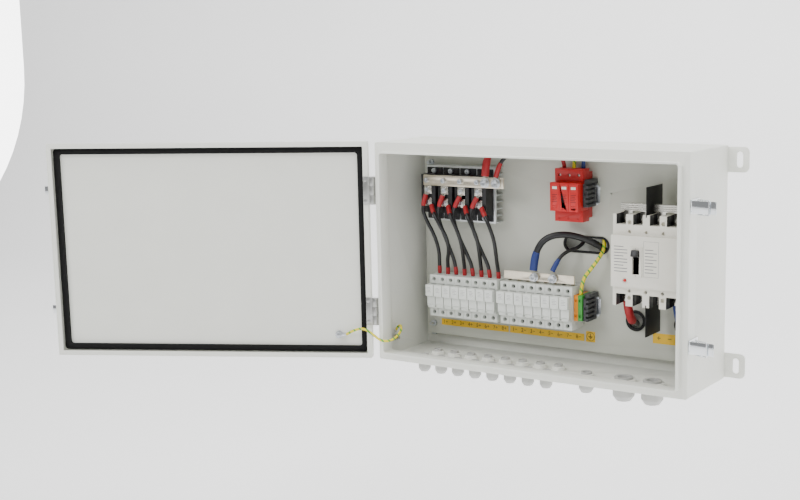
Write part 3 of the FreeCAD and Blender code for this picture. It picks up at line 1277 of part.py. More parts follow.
string_routes = [
    [(-244, -88.3, 92), (-246.5, -94.5, 76), (-242, -90, 54), (-232, -79, 26), (-229, -67, -4),
     (-235.75, -56, -34), (-235.75, -55, -55)],
    [(-229, -87.5, 75), (-219, -98.5, 66), (-207, -100.5, 49), (-196, -92, 24), (-199, -80, -1),
     (-213, -64, -22), (-217.75, -55, -40), (-217.75, -55, -57)],
    [(-208.3, -88.3, 92), (-213, -93.6, 76), (-216, -87.5, 56), (-211, -77, 26), (-203, -67, -6),
     (-199.75, -56, -34), (-199.75, -55, -55)],
    [(-193.3, -87.5, 75), (-184, -99.4, 66), (-174, -100.5, 50), (-168, -92, 25), (-170, -80, -1),
     (-178, -64, -22), (-181.75, -55, -40), (-181.75, -55, -57)],
    [(-173, -88.3, 92), (-180, -93.4, 77), (-185, -86.3, 56), (-180, -77, 25), (-171, -66, -6),
     (-163.75, -56, -34), (-163.75, -55, -55)],
    [(-157.6, -87.5, 76), (-148, -99.2, 68), (-139, -101, 52), (-132, -92, 27), (-135, -80, 0),
     (-142, -65, -21), (-145.75, -55, -40), (-145.75, -55, -57)],
    [(-137, -88.3, 92), (-144, -93.4, 77), (-148, -86.2, 56), (-144, -77, 25), (-136, -66, -6),
     (-127.75, -56, -34), (-127.75, -55, -55)],
    [(-122, -87.5, 75), (-112, -95, 65), (-103, -97, 49), (-98, -90, 25), (-101, -79, 0),
     (-107, -65, -21), (-109.75, -55, -40), (-109.75, -55, -57)],
]
main_routes = [
    [(-113, -91.5, 144.5), (-111, -91.5, 167), (-108, -74, 185), (-104, -46, 190), (-101, -21, 181),
     (-95, -13, 154), (-84, -13.5, 123), (-58, -13, 76), (-20, -14, 22), (17, -14.5, -35),
     (55, -13.5, -85), (100, -14, -112), (140, -16, -113), (158, -42, -110), (157, -73.5, -95.5),
     (155.5, -79, -62)],
    [(-26, -75, -19), (-24, -74, 5), (-8, -68, 32), (25, -56, 40), (60, -36, 29), (88, -14, 8),
     (118, -13, -40), (152, -14, -86), (190, -14, -112), (230, -16, -113), (248, -42, -110),
     (247, -73.5, -95.5), (245.5, -79, -62)],
]
spd_routes = [
    [(-91, -89.5, 143), (-86, -89, 161), (-68, -84, 178), (-38, -72, 185), (-8, -58, 186),
     (17.5, -46, 176), (19.5, -45, 149)],
    [(37.5, -45, 149), (37.5, -45, 174), (38, -29.5, 183), (38.5, -13, 173), (42, -9.5, 148),
     (50, -9.5, 105), (62, -10, 65), (80, -15, 36), (88, -27, 16), (90, -47, 4), (78, -57, -17),
     (61, -60, -38), (58.5, -60, -64.4)],
    [(55.5, -45, 149), (55.5, -45, 174), (55.5, -30.5, 183), (55, -17, 172), (57, -19, 148),
     (56, -19, 105), (53, -19, 65), (49, -17, 33), (43, -30, 14), (31, -50, 10), (20, -66, 0), (13, -73,
                                                                                                -19)],
]
bond_route = [(-364.8, -175.3, -156.6), (-348, -175.5, -147), (-325.5, -176, -141), (-304, -180, -148),
              (-284, -181, -160), (-268, -170, -160), (-261.5, -151, -149),
              (-270, -134, -139), (-283, -126, -141), (-291, -121, -150)]


def cables():
    node(cords("string_wires", string_routes, dimensions["string_wire"]), "string_wires")
    node(cords("main_cables", main_routes, dimensions["main_cable"]), "main_cables")
    node(cords("spd_wires", spd_routes, dimensions["surge_wire"]), "spd_wires")
    node(cords("door_bond_wire", [bond_route], dimensions["bond_wire"]), "door_bond_wire")


def lug(name, eye, normal, eye_radius, hole, thick, route, radius, length):
    """A ring terminal: an eye on its stud and a barrel that ends where the cable begins."""
    start = V(*route[0])
    direction = (V(*route[1]) - start).normalize()
    barrel = doc.addObject("Part::Cylinder", name + "_barrel")
    barrel.Radius = radius
    barrel.Height = length
    barrel.Placement = FreeCAD.Placement(start - direction * (length + 0.1),
                                         FreeCAD.Rotation(V(0, 0, 1), direction))
    mouth = start - direction * (length + 0.1)
    centre = V(*[number(value) for value in eye])
    disc = doc.addObject("Part::Cylinder", name + "_disc")
    disc.Radius = eye_radius
    disc.Height = thick
    disc.Placement = FreeCAD.Placement(centre, FreeCAD.Rotation(V(0, 0, 1), normal))
    neck = doc.addObject("Part::Feature", name + "_neck")
    neck.Shape = neck_shape(centre, normal, thick, mouth, direction, radius, length)
    bore = doc.addObject("Part::Cylinder", name + "_bore")
    bore.Radius = hole
    bore.Height = 4 * thick + 12
    bore.Placement = FreeCAD.Placement(centre - normal * (2 * thick),
                                       FreeCAD.Rotation(V(0, 0, 1), normal))
    return cut(name, fuse(name + "_blank", barrel, disc, neck), bore)


def neck_shape(centre, normal, thick, mouth, direction, radius, length):
    flat = mouth - centre
    flat = flat - normal * flat.dot(normal)
    along = V(flat).normalize()
    side = normal.cross(along)
    half = radius * 0.9
    base_mid = centre + normal * (thick / 2) + along * (flat.Length * 0.75)
    rows = []
    for point, lift in ((base_mid, thick / 2), (mouth + direction * (length * 0.3), thick / 2)):
        rows.append(Part.makePolygon([point + side * half - normal * lift,
                                      point + side * half + normal * lift,
                                      point - side * half + normal * lift, point - side * half - normal * lift,
                                      point + side * half - normal * lift]))
    return Part.makeLoft(rows, True, True)


def cable_lugs():
    pieces = []
    towards_door = V(0, -1, 0)
    wire_radius = dimensions["string_wire"] / 2 + 0.5
    for k, route in enumerate(string_routes):
        x = diode_xs[k // 2]
        z = s.terminal_upper_z if k % 2 == 0 else s.terminal_lower_z
        pieces.append(lug("string_lug_%d" % (k + 1), (x, pad_face - 0.05, z), towards_door, 5.6, 2.7, 1.6,
                          route, wire_radius, 6))
    cable_radius = dimensions["main_cable"] / 2 + 0.6
    bar_front = pos_bar_back - s.bar_thick - 0.05
    pieces.append(lug("pos_lug", (pos_bolt_xs[0], bar_front, s.pos_bar_z), towards_door, 8.4, 4.1, 1.7,
                      main_routes[0], cable_radius, 7))
    pieces.append(lug("neg_lug", (neg_bolt_xs[0], -69.05, s.neg_bar_top - 7.2), towards_door, 6.6, 3.2,
                      2.5,
                      main_routes[1], cable_radius, 7))
    surge_radius = dimensions["surge_wire"] / 2 + 0.5
    pieces.append(lug("spd_red_lug", (pos_bolt_xs[1], bar_front, s.pos_bar_z), towards_door, 8, 4.1, 1.7,
                      spd_routes[0], surge_radius, 6))
    pieces.append(lug("spd_blue_lug", (neg_bolt_xs[1], -69.05, s.neg_bar_top - 7.2), towards_door, 6.2,
                      3.2, 2.5,
                      spd_routes[2][::-1], surge_radius, 6))
    for k, route in ((0, main_routes[0]), (3, main_routes[1])):
        x = pole_xs[k]
        end = route[-1]
        tongue = block("pole_tongue", (x - 6.5, x + 6.5), (-75, -72.6),
                       (s.breaker_bottom + 9, s.breaker_bottom + 17))
        barrel = doc.addObject("Part::Cylinder", "pole_barrel")
        direction = (V(*route[-2]) - V(*end)).normalize()
        barrel.Radius = cable_radius
        barrel.Height = 7
        barrel.Placement = FreeCAD.Placement(V(*end) - direction * 7.1,
                                             FreeCAD.Rotation(V(0, 0, 1), direction))
        pieces.append(fuse("pole_lug", tongue, barrel))
    wall = -half_width + s.sheet_thick
    eye_x, eye_y, eye_z = wall + 2.6, front + 43, -half_height + 32
    pieces.append(lug("bond_lug", (eye_x, eye_y, eye_z), V(1, 0, 0), 6, 3.1, 1.6, bond_route[::-1],
                      dimensions["bond_wire"] / 2 + 0.6, 5))
    stud = rod("earth_stud", (wall - 1.9, eye_y, eye_z), "x", 14, 2.9)
    head = hexagon("earth_stud_head", (-half_width - 2.5, eye_y, eye_z), "x", 2.4, 5)
    nut = hexagon("earth_stud_nut", (wall + 4.4, eye_y, eye_z), "x", 4, 5)
    seat = hexagon("earth_seat_nut", (wall + 0.1, eye_y, eye_z), "x", 2.4, 5)
    pieces.append(fuse("earth_stud_set", stud, head, nut, seat))
    node(group("cable_lugs", *pieces), "cable_lugs")


# ---- build, check and write --------------------------------------------------------------

for make in (enclosure_shell, wall_brackets, enclosure_fixings, mounting_panel, cable_grommets,
             door_panel, door_gasket, hinges, door_keepers, door_fixings, latch_bases, latch_levers,
             din_rails, rail_end_clamps, fuse_holders, fuse_carriers, negative_busbar, heat_sink,
             diode_modules, positive_busbar, busbar_bolts, surge_protector, earth_terminal, breaker,
             breaker_controls, glands, cables, cable_lugs):
    make()
doc.recompute()

for obj in doc.Objects:
    if "Invalid" in obj.State or "Error" in obj.State:
        raise RuntimeError("%s (%s): %s" % (obj.Name, obj.Label, obj.State))

os.makedirs("parts", exist_ok=True)
total = 0
for obj in nodes:
    shape = Part.getShape(obj) if obj.TypeId == "App::Link" else obj.Shape
    if shape.isNull() or not shape.isValid() or not shape.Solids:
        raise RuntimeError("%s has no sound solid" % obj.Label)
    shape.exportStep("parts/%s.step" % obj.Label)
    total += len(shape.Solids)
    box = shape.BoundBox
    print("%-24s %3d solids  x %7.1f %7.1f  y %7.1f %7.1f  z %7.1f %7.1f"
          % (obj.Label, len(shape.Solids), box.XMin, box.XMax, box.YMin, box.YMax, box.ZMin, box.ZMax))
print("%d nodes, %d solids" % (len(nodes), total))
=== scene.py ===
import bpy
import json
import math
from mathutils import Matrix, Vector


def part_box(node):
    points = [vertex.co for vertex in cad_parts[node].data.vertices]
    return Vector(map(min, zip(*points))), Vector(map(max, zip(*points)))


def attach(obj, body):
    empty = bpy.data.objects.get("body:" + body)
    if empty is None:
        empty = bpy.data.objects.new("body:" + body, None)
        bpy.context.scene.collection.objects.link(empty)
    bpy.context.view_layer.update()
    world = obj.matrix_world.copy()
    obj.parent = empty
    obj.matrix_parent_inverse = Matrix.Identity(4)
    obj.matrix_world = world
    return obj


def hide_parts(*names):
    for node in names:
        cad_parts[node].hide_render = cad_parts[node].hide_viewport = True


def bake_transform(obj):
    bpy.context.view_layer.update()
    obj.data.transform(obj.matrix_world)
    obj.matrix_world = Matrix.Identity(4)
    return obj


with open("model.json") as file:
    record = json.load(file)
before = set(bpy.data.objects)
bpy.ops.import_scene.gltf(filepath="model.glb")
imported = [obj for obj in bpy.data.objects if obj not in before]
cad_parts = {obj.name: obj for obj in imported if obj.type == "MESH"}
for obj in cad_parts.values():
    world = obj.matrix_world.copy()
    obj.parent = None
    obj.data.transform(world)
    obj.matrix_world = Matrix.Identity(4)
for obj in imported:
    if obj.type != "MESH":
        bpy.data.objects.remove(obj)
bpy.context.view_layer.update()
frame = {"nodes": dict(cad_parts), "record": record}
bodyOf = {node: body for body, nodes in frame["record"]["behaviour"]["bodies"].items() for node in nodes}
mm = 0.001

# the camera stands to the right of the box and a little above it
cameraView = {"place": (1.1068, -2.1108, 0.3692), "turn": 0.570, "down": 0.171, "roll": -0.016,
              "lens": 60.5, "shift": (-0.0642, 0.0314)}


def placeCamera(view):
    data = bpy.data.cameras.new("studioCamera")
    data.lens = view["lens"]
    data.sensor_width = 36
    data.shift_x, data.shift_y = view["shift"]
    data.clip_end = 30
    camera = bpy.data.objects.new("studioCamera", data)
    bpy.context.scene.collection.objects.link(camera)
    spin = (Matrix.Rotation(view["turn"], 3, "Z") @ Matrix.Rotation(math.pi / 2 - view["down"], 3, "X")
            @ Matrix.Rotation(view["roll"], 3, "Z"))
    camera.matrix_world = Matrix.Translation(view["place"]) @ spin.to_4x4()
    bpy.context.scene.camera = camera


placeCamera(cameraView)
print("camera placed")


# materials

def linear(hexColour):
    channels = [int(hexColour[k:k + 2], 16) / 255 for k in (1, 3, 5)]
    return tuple(c / 12.92 if c <= 0.04045 else ((c + 0.055) / 1.055) ** 2.4 for c in channels) + (1,)


def addNode(tree, kind, settings=None, links=None):
    node = tree.nodes.new(kind)
    for key, value in (settings or {}).items():
        if isinstance(key, int) or key in node.inputs:
            node.inputs[key].default_value = value
        else:
            setattr(node, key, value)
    for key, source in (links or {}).items():
        tree.links.new(source, node.inputs[key])
    return node


# Each finish: two shades and how wide their clouds are, roughness low and high, and the relief of
# the surface: its texture, size in mm, height in mm, and stretch along X, Y, Z.
finishes = {
    # polyester powder coat: fine orange peel, satin
    "powderCoatLightGrey": {"shades": ("#e6e7df", "#dfe0d8"), "cloud": 60, "rough": (0.42, 0.5),
                            "relief": ("noise", 1.6, 0.02), "specular": 0.45},
    # the same coat on the mounting plate, smoother, and darker by painted shade from inside the box
    "powderCoatPlatePaintedShade": {"shades": ("#c4c5bb", "#bbbdb2"), "cloud": 80, "rough": (0.38, 0.48),
                        "relief": ("noise", 1.4, 0.015), "specular": 0.45},
    # bright zinc on pressed steel: cool sheen with a cloudy passivation
    "zincPlatedSteel": {"shades": ("#d9dcdf", "#b9bec4"), "cloud": 7, "rough": (0.24, 0.38), "metallic": 1,
                        "relief": ("noise", 0.9, 0.01)},
    # decorative chrome on pressed steel: mirror with faint polishing marks; its shades are toned slightly
    # down as a painted darker reflection
    "chromePlatedSteel": {"shades": ("#e9ecee", "#dfe3e6"), "cloud": 20, "rough": (0.07, 0.13), "metallic": 1,
                          "relief": ("noise", 0.8, 0.004), "stretch": (1, 1, 8)},
    # stainless hinge stock, satin ground along its length
    "stainlessSatin": {"shades": ("#b9b9b6", "#a3a4a2"), "cloud": 5, "rough": (0.28, 0.4), "metallic": 1,
                       "relief": ("noise", 0.5, 0.012), "stretch": (6, 6, 0.5)},
    # extruded aluminium, mill finish: die lines along X
    "aluminiumExtruded": {"shades": ("#e3e5e6", "#cfd2d4"), "cloud": 12, "rough": (0.28, 0.42), "metallic": 1,
                          "relief": ("noise", 0.8, 0.012), "stretch": (0.15, 4, 4)},
    # tin over copper bar: warm silver
    "tinnedCopper": {"shades": ("#e7dfcf", "#d6cbb4"), "cloud": 9, "rough": (0.25, 0.38), "metallic": 1,
                     "relief": ("noise", 0.7, 0.008), "stretch": (0.4, 3, 3)},
    # nickel-plated brass clamp parts
    "nickelPlated": {"shades": ("#dcdad2", "#c3c1b8"), "cloud": 4, "rough": (0.2, 0.32), "metallic": 1,
                     "relief": ("noise", 0.5, 0.006)},
    # foamed sealing bead: closed cells, dead matt
    "foamedSeal": {"shades": ("#161616", "#0d0d0e"), "cloud": 9, "rough": (0.78, 0.9),
                   "relief": ("voronoi", 1.1, 0.06), "specular": 0.25},
    # moulded rubber
    "mouldedRubber": {"shades": ("#1b1b1c", "#121213"), "cloud": 10, "rough": (0.6, 0.72),
                      "relief": ("noise", 0.6, 0.012), "specular": 0.3},
    # black glass-filled polyamide
    "polyamideBlack": {"shades": ("#1a1a1c", "#101012"), "cloud": 12, "rough": (0.36, 0.48),
                       "relief": ("noise", 0.5, 0.01), "specular": 0.5},
    # dark grey polyamide of the rail clamps
    "polyamideCharcoal": {"shades": ("#3c3d3f", "#323335"), "cloud": 10, "rough": (0.4, 0.5),
                          "relief": ("noise", 0.5, 0.01)},
    # blackened steel of the clamp screws
    "blackenedSteel": {"shades": ("#48484a", "#343436"), "cloud": 4, "rough": (0.34, 0.46), "metallic": 1,
                       "relief": ("noise", 0.5, 0.008)},
    # fibre sheet of the phase barriers
    "barrierSheet": {"shades": ("#121214", "#0b0b0c"), "cloud": 18, "rough": (0.42, 0.55),
                     "relief": ("noise", 0.7, 0.012), "specular": 0.4},
    # grey polyamide of the gland caps
    "polyamideGrey": {"shades": ("#b9b9b6", "#adada9"), "cloud": 14, "rough": (0.42, 0.52),
                      "relief": ("noise", 0.5, 0.012)},
    # natural white polyamide of the locknuts
    "polyamideWhite": {"shades": ("#eeeee8", "#e4e4dc"), "cloud": 10, "rough": (0.36, 0.46),
                       "relief": ("noise", 0.5, 0.01), "glow": 0.12},
    # light grey moulded housing, spark-eroded texture
    "housingGrey": {"shades": ("#d9dcd6", "#d0d4cd"), "cloud": 14, "rough": (0.4, 0.5),
                    "relief": ("noise", 0.45, 0.01)},
    "carrierGrey": {"shades": ("#e2e5df", "#d9dcd6"), "cloud": 12, "rough": (0.34, 0.44),
                    "relief": ("noise", 0.45, 0.008)},
    # ceramic fuse body
    "ceramicWhite": {"shades": ("#f0eee6", "#e6e3d9"), "cloud": 6, "rough": (0.25, 0.35),
                     "relief": ("noise", 0.4, 0.005)},
    # off-white thermoset case of the breaker
    "caseIvory": {"shades": ("#e4e1d6", "#dad7cb"), "cloud": 22, "rough": (0.4, 0.5),
                  "relief": ("noise", 0.5, 0.01)},
    # saturated red of the surge modules
    "surgeRed": {"shades": ("#c9201f", "#bb1a1b"), "cloud": 12, "rough": (0.3, 0.4),
                 "relief": ("noise", 0.5, 0.008)},
    "surgeRedBase": {"shades": ("#b91c1c", "#a91718"), "cloud": 12, "rough": (0.36, 0.46),
                     "relief": ("noise", 0.5, 0.01)},
    "buttonRed": {"shades": ("#c1261f", "#ad1d18"), "cloud": 4, "rough": (0.28, 0.36),
                  "relief": ("noise", 0.4, 0.005)},
    "terminalGreen": {"shades": ("#3f9a3c", "#358a34"), "cloud": 8, "rough": (0.36, 0.46),
                      "relief": ("noise", 0.5, 0.01)},
    "terminalOrange": {"shades": ("#e08a1e", "#d68018"), "cloud": 8, "rough": (0.36, 0.46),
                       "relief": ("noise", 0.5, 0.01)},
    # PVC insulation, smooth with a faint draw line
    "insulationBlack": {"shades": ("#17171a", "#0e0e10"), "cloud": 10, "rough": (0.34, 0.46),
                        "relief": ("noise", 0.8, 0.012)},
    # heat-shrink, slightly uneven over the barrel
    "shrinkRed": {"shades": ("#a81820", "#8f1219"), "cloud": 6, "rough": (0.42, 0.54),
                  "relief": ("noise", 1.4, 0.03)},
    "shrinkBlue": {"shades": ("#20357a", "#182a63"), "cloud": 6, "rough": (0.42, 0.54),
                   "relief": ("noise", 1.4, 0.03)},
    # polyester label film
    "labelYellow": {"shades": ("#f0c21e", "#e8b814"), "cloud": 15, "rough": (0.34, 0.42),
                    "relief": ("noise", 2.5, 0.006)},
    "printBlack": {"shades": ("#1c1c1c", "#141414"), "cloud": 5, "rough": (0.5, 0.6),
                   "relief": ("noise", 0.4, 0.002)},
    "printGrey": {"shades": ("#77787a", "#6c6d70"), "cloud": 5, "rough": (0.5, 0.6),
                  "relief": ("noise", 0.4, 0.002)},
    "windowPale": {"shades": ("#e6efe2", "#dbe6d8"), "cloud": 3, "rough": (0.15, 0.22),
                    "relief": ("noise", 0.4, 0.002)},
}


def makeMaterial(name, spec):
    material = bpy.data.materials.new(name)
    material.use_nodes = True
    tree = material.node_tree
    tree.nodes.clear()
    place = addNode(tree, "ShaderNodeTexCoord")
    stretch = addNode(tree, "ShaderNodeMapping", {"Scale": spec.get("stretch", (1, 1, 1))},
                      {"Vector": place.outputs["Object"]})
    cloud = addNode(tree, "ShaderNodeTexNoise", {"Scale": 1 / (spec["cloud"] * mm), "Detail": 3.0},
                    {"Vector": place.outputs["Object"]})
    first, second = (linear(shade) for shade in spec["shades"])
    colour = addNode(tree, "ShaderNodeMix", {"data_type": "RGBA", 6: first, 7: second},
                     {0: cloud.outputs["Fac"]})
    low, high = spec["rough"]
    kind, size, height = spec["relief"]
    scale = 1 / (size * mm)
    if kind == "voronoi":
        relief = addNode(tree, "ShaderNodeTexVoronoi", {"Scale": scale},
                         {"Vector": stretch.outputs["Vector"]})
        reliefOut = relief.outputs["Distance"]
    else:
        relief = addNode(tree, "ShaderNodeTexNoise", {"Scale": scale, "Detail": 4.0, "Roughness": 0.55},
                         {"Vector": stretch.outputs["Vector"]})
        reliefOut = relief.outputs["Fac"]
    rough = addNode(tree, "ShaderNodeMapRange",
                    {"From Min": 0.3, "From Max": 0.7, "To Min": low, "To Max": high},
                    {"Value": reliefOut})
    bump = addNode(tree, "ShaderNodeBump", {"Strength": 1.0, "Distance": height * mm}, {"Height": reliefOut})
    shader = addNode(tree, "ShaderNodeBsdfPrincipled", {"Metallic": float(spec.get("metallic", 0))},
                     {"Base Color": colour.outputs[2], "Roughness": rough.outputs["Result"],
                      "Normal": bump.outputs["Normal"]})
    if "specular" in spec:
        shader.inputs["Specular IOR Level"].default_value = spec["specular"]
    if "glow" in spec:   # light that thin pale nylon passes on from inside
        shader.inputs["Subsurface Weight"].default_value = spec["glow"]
        shader.inputs["Subsurface Radius"].default_value = (0.002, 0.002, 0.0018)
    addNode(tree, "ShaderNodeOutputMaterial", None, {"Surface": shader.outputs["BSDF"]})
    return material


materials = {name: makeMaterial(name, spec) for name, spec in finishes.items()}


# green and yellow earth insulation: yellow with a narrow slanting stripe of green
def makeEarthInsulation():
    material = bpy.data.materials.new("insulationGreenYellow")
    material.use_nodes = True
    tree = material.node_tree
    tree.nodes.clear()
    place = addNode(tree, "ShaderNodeTexCoord")
    stripe = addNode(tree, "ShaderNodeTexWave", {"Scale": 38.0, "Distortion": 0.0, "wave_type": "BANDS",
                                                 "bands_direction": "DIAGONAL"},
                     {"Vector": place.outputs["Object"]})
    edge = addNode(tree, "ShaderNodeMapRange", {"From Min": 0.80, "From Max": 0.84},
                   {"Value": stripe.outputs["Fac"]})
    colour = addNode(tree, "ShaderNodeMix", {"data_type": "RGBA", 6: linear("#e2cf1e"), 7: linear("#3f9a35")},
                     {0: edge.outputs["Result"]})
    grain = addNode(tree, "ShaderNodeTexNoise", {"Scale": 1 / (0.8 * mm), "Detail": 3.0},
                    {"Vector": place.outputs["Object"]})
    bump = addNode(tree, "ShaderNodeBump", {"Strength": 1.0, "Distance": 0.012 * mm},
                   {"Height": grain.outputs["Fac"]})
    rough = addNode(tree, "ShaderNodeMapRange", {"To Min": 0.32, "To Max": 0.46},
                    {"Value": grain.outputs["Fac"]})
    shader = addNode(tree, "ShaderNodeBsdfPrincipled", None,
                     {"Base Color": colour.outputs[2], "Roughness": rough.outputs["Result"],
                      "Normal": bump.outputs["Normal"]})
    addNode(tree, "ShaderNodeOutputMaterial", None, {"Surface": shader.outputs["BSDF"]})
    return material


materials["insulationGreenYellow"] = makeEarthInsulation()
print("materials made:", len(materials))


# small modelling helpers

def clearSelection():
    if bpy.context.object and bpy.context.object.mode != "OBJECT":
        bpy.ops.object.mode_set(mode="OBJECT")
    bpy.ops.object.select_all(action="DESELECT")


def makeActive(piece):
    clearSelection()
    piece.select_set(True)
    bpy.context.view_layer.objects.active = piece


def settle(piece):   # the piece's place goes into its mesh
    makeActive(piece)
    bpy.ops.object.transform_apply(location=True, rotation=True, scale=True)


def finishBy(piece, kind, **settings):
    makeActive(piece)
    modifier = piece.modifiers.new(kind.lower(), kind)
    for key, value in settings.items():
        setattr(modifier, key, value)
    bpy.ops.object.modifier_apply(modifier=modifier.name)


def smooth(piece, degrees=32):
    makeActive(piece)
    bpy.ops.object.shade_smooth_by_angle(angle=math.radians(degrees))


def give(piece, name, body, material, stands=()):
    piece.name = name
    piece.data.name = name
    if material:
        piece.data.materials.clear()
        piece.data.materials.append(materials[material])
    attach(piece, body)
    if stands:
        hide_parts(*stands)
    return piece


def softCopy(node, name, material, edge=0.5, segments=2, parts=None, angle=30):
    # edge is the rounding in mm; parts gives another material to faces chosen by their centre
    source = frame["nodes"][node]
    clearSelection()
    mesh = source.data.copy()
    piece = bpy.data.objects.new(name, mesh)
    bpy.context.scene.collection.objects.link(piece)
    makeActive(piece)
    bpy.ops.object.mode_set(mode="EDIT")
    bpy.ops.mesh.select_all(action="SELECT")
    bpy.ops.mesh.remove_doubles(threshold=0.00001)
    bpy.ops.mesh.dissolve_limited(angle_limit=math.radians(0.6))
    bpy.ops.object.mode_set(mode="OBJECT")
    if edge:
        finishBy(piece, "BEVEL", width=edge * mm, segments=segments, limit_method="ANGLE",
                 angle_limit=math.radians(angle), miter_outer="MITER_ARC", use_clamp_overlap=True)
    smooth(piece)
    piece.data.materials.clear()
    piece.data.materials.append(materials[material])
    for material2, chosen in (parts or []):
        piece.data.materials.append(materials[material2])
        index = len(piece.data.materials) - 1
        for face in piece.data.polygons:
            if chosen(face.center, face.normal):
                face.material_index = index
    give(piece, name, bodyOf[node], None, stands=[node])
    return piece


def slab(name, low, high, corner=0.4, segments=2):
    low, high = Vector(low) * mm, Vector(high) * mm
    clearSelection()
    bpy.ops.mesh.primitive_cube_add(size=1, location=(low + high) / 2)
    piece = bpy.context.object
    piece.scale = high - low
    settle(piece)
    piece.name = name
    if corner:
        finishBy(piece, "BEVEL", width=corner * mm, segments=segments, limit_method="ANGLE")
    smooth(piece)
    return piece


def joined(pieces, name):
    makeActive(pieces[0])
    for piece in pieces:
        piece.select_set(True)
    bpy.ops.object.join()
    piece = bpy.context.object
    piece.name = name
    return piece


def words(text, size, where, turn=(90, 0, 0)):
    clearSelection()
    bpy.ops.object.text_add(location=Vector(where) * mm, rotation=[math.radians(a) for a in turn])
    label = bpy.context.object
    label.data.body = text
    label.data.size = size * mm
    label.data.extrude = 0.06 * mm
    label.data.align_x = "CENTER"
    label.data.align_y = "CENTER"
    bpy.ops.object.convert(target="MESH")
    label = bpy.context.object
    settle(label)
    return label


# cables

wireLook = {"string": 6.8, "main": 11.5, "thin": 6.4, "bond": 4.6}
stringRoutes = [
    [(-244, -88.3, 92), (-246.5, -94.5, 76), (-242, -90, 54), (-232, -79, 26), (-229, -67, -4),
     (-235.75, -56, -34), (-235.75, -55, -55)],
    [(-229, -87.5, 75), (-219, -98.5, 66), (-207, -100.5, 49), (-196, -92, 24), (-199, -80, -1),
     (-213, -64, -22), (-217.75, -55, -40), (-217.75, -55, -57)],
    [(-208.3, -88.3, 92), (-213, -93.6, 76), (-216, -87.5, 56), (-211, -77, 26), (-203, -67, -6),
     (-199.75, -56, -34), (-199.75, -55, -55)],
    [(-193.3, -87.5, 75), (-184, -99.4, 66), (-174, -100.5, 50), (-168, -92, 25), (-170, -80, -1),
     (-178, -64, -22), (-181.75, -55, -40), (-181.75, -55, -57)],
    [(-173, -88.3, 92), (-180, -93.4, 77), (-185, -86.3, 56), (-180, -77, 25), (-171, -66, -6),
     (-163.75, -56, -34), (-163.75, -55, -55)],
    [(-157.6, -87.5, 76), (-148, -99.2, 68), (-139, -101, 52), (-132, -92, 27), (-135, -80, 0),
     (-142, -65, -21), (-145.75, -55, -40), (-145.75, -55, -57)],
    [(-137, -88.3, 92), (-144, -93.4, 77), (-148, -86.2, 56), (-144, -77, 25), (-136, -66, -6),
     (-127.75, -56, -34), (-127.75, -55, -55)],
    [(-122, -87.5, 75), (-112, -95, 65), (-103, -97, 49), (-98, -90, 25), (-101, -79, 0),
     (-107, -65, -21), (-109.75, -55, -40), (-109.75, -55, -57)],
]
mainRoutes = [
    [(-113, -91.5, 144.5), (-111, -91.5, 167), (-108, -74, 185), (-104, -46, 190),
     (-101, -21, 181), (-95, -13, 154), (-84, -13.5, 123), (-58, -13, 76), (-20, -14, 22),
     (17, -14.5, -35), (55, -13.5, -85), (100, -14, -112), (140, -16, -113), (158, -42, -110),
     (157, -73.5, -95.5), (155.5, -79, -62)],
    [(-26, -75, -19), (-24, -74, 5), (-8, -68, 32), (25, -56, 40), (60, -36, 29), (88, -14, 8),
     (118, -13, -40), (152, -14, -86), (190, -14, -112), (230, -16, -113), (248, -42, -110),
     (247, -73.5, -95.5), (245.5, -79, -62)],
]
thinRoutes = [
    [(-91, -89.5, 143), (-86, -89, 161), (-68, -84, 178), (-38, -72, 185), (-8, -58, 186),
     (17.5, -46, 176), (19.5, -45, 149)],
    [(37.5, -45, 149), (37.5, -45, 174), (38, -29.5, 183), (38.5, -13, 173), (42, -9.5, 148),
     (50, -9.5, 105), (62, -10, 65), (80, -15, 36), (88, -27, 16), (90, -47, 4), (78, -57, -17),
     (61, -60, -38), (58.5, -60, -64.4)],
    [(55.5, -45, 149), (55.5, -45, 174), (55.5, -30.5, 183), (55, -17, 172), (57, -19, 148),
     (56, -19, 105), (53, -19, 65), (49, -17, 33), (43, -30, 14), (31, -50, 10), (20, -66, 0),
     (13, -73, -19)],
]
bondRoute = [(-364.8, -175.3, -156.6), (-348, -175.5, -147), (-325.5, -176, -141),
             (-304, -180, -148), (-284, -181, -160), (-268, -170, -160), (-261.5, -151, -149),
             (-270, -134, -139), (-283, -126, -141), (-291, -121, -150)]


def nurbs(name, route, radius=0):
    data = bpy.data.curves.new(name, "CURVE")
    data.dimensions = "3D"
    data.resolution_u = 8
    data.bevel_depth = radius * mm
    data.bevel_resolution = 4
    data.use_fill_caps = True
    spline = data.splines.new("NURBS")
    spline.points.add(len(route) - 1)
    for point, place in zip(spline.points, route):
        point.co = (*(Vector(place) * mm), 1)
    spline.order_u = 3
    spline.use_endpoint_u = True
    piece = bpy.data.objects.new(name, data)
    bpy.context.scene.collection.objects.link(piece)
    return piece


def runOf(route):
    bare = nurbs("bareRoute", route)
    mesh = bpy.data.meshes.new_from_object(bare)
    line = [vertex.co.copy() for vertex in mesh.vertices]
    bpy.data.objects.remove(bare)
    bpy.data.meshes.remove(mesh)
    return line


def stretchOf(line, start, end):   # the part of a run between two distances in mm from its start
    found, travelled = [], 0.0
    for a, b in zip(line, line[1:]):
        step = (b - a).length
        for distance in (start * mm, end * mm):
            if travelled <= distance < travelled + step:
                found.append(a.lerp(b, (distance - travelled) / step))
        travelled += step
        if start * mm < travelled < end * mm:
            found.append(b.copy())
    return found


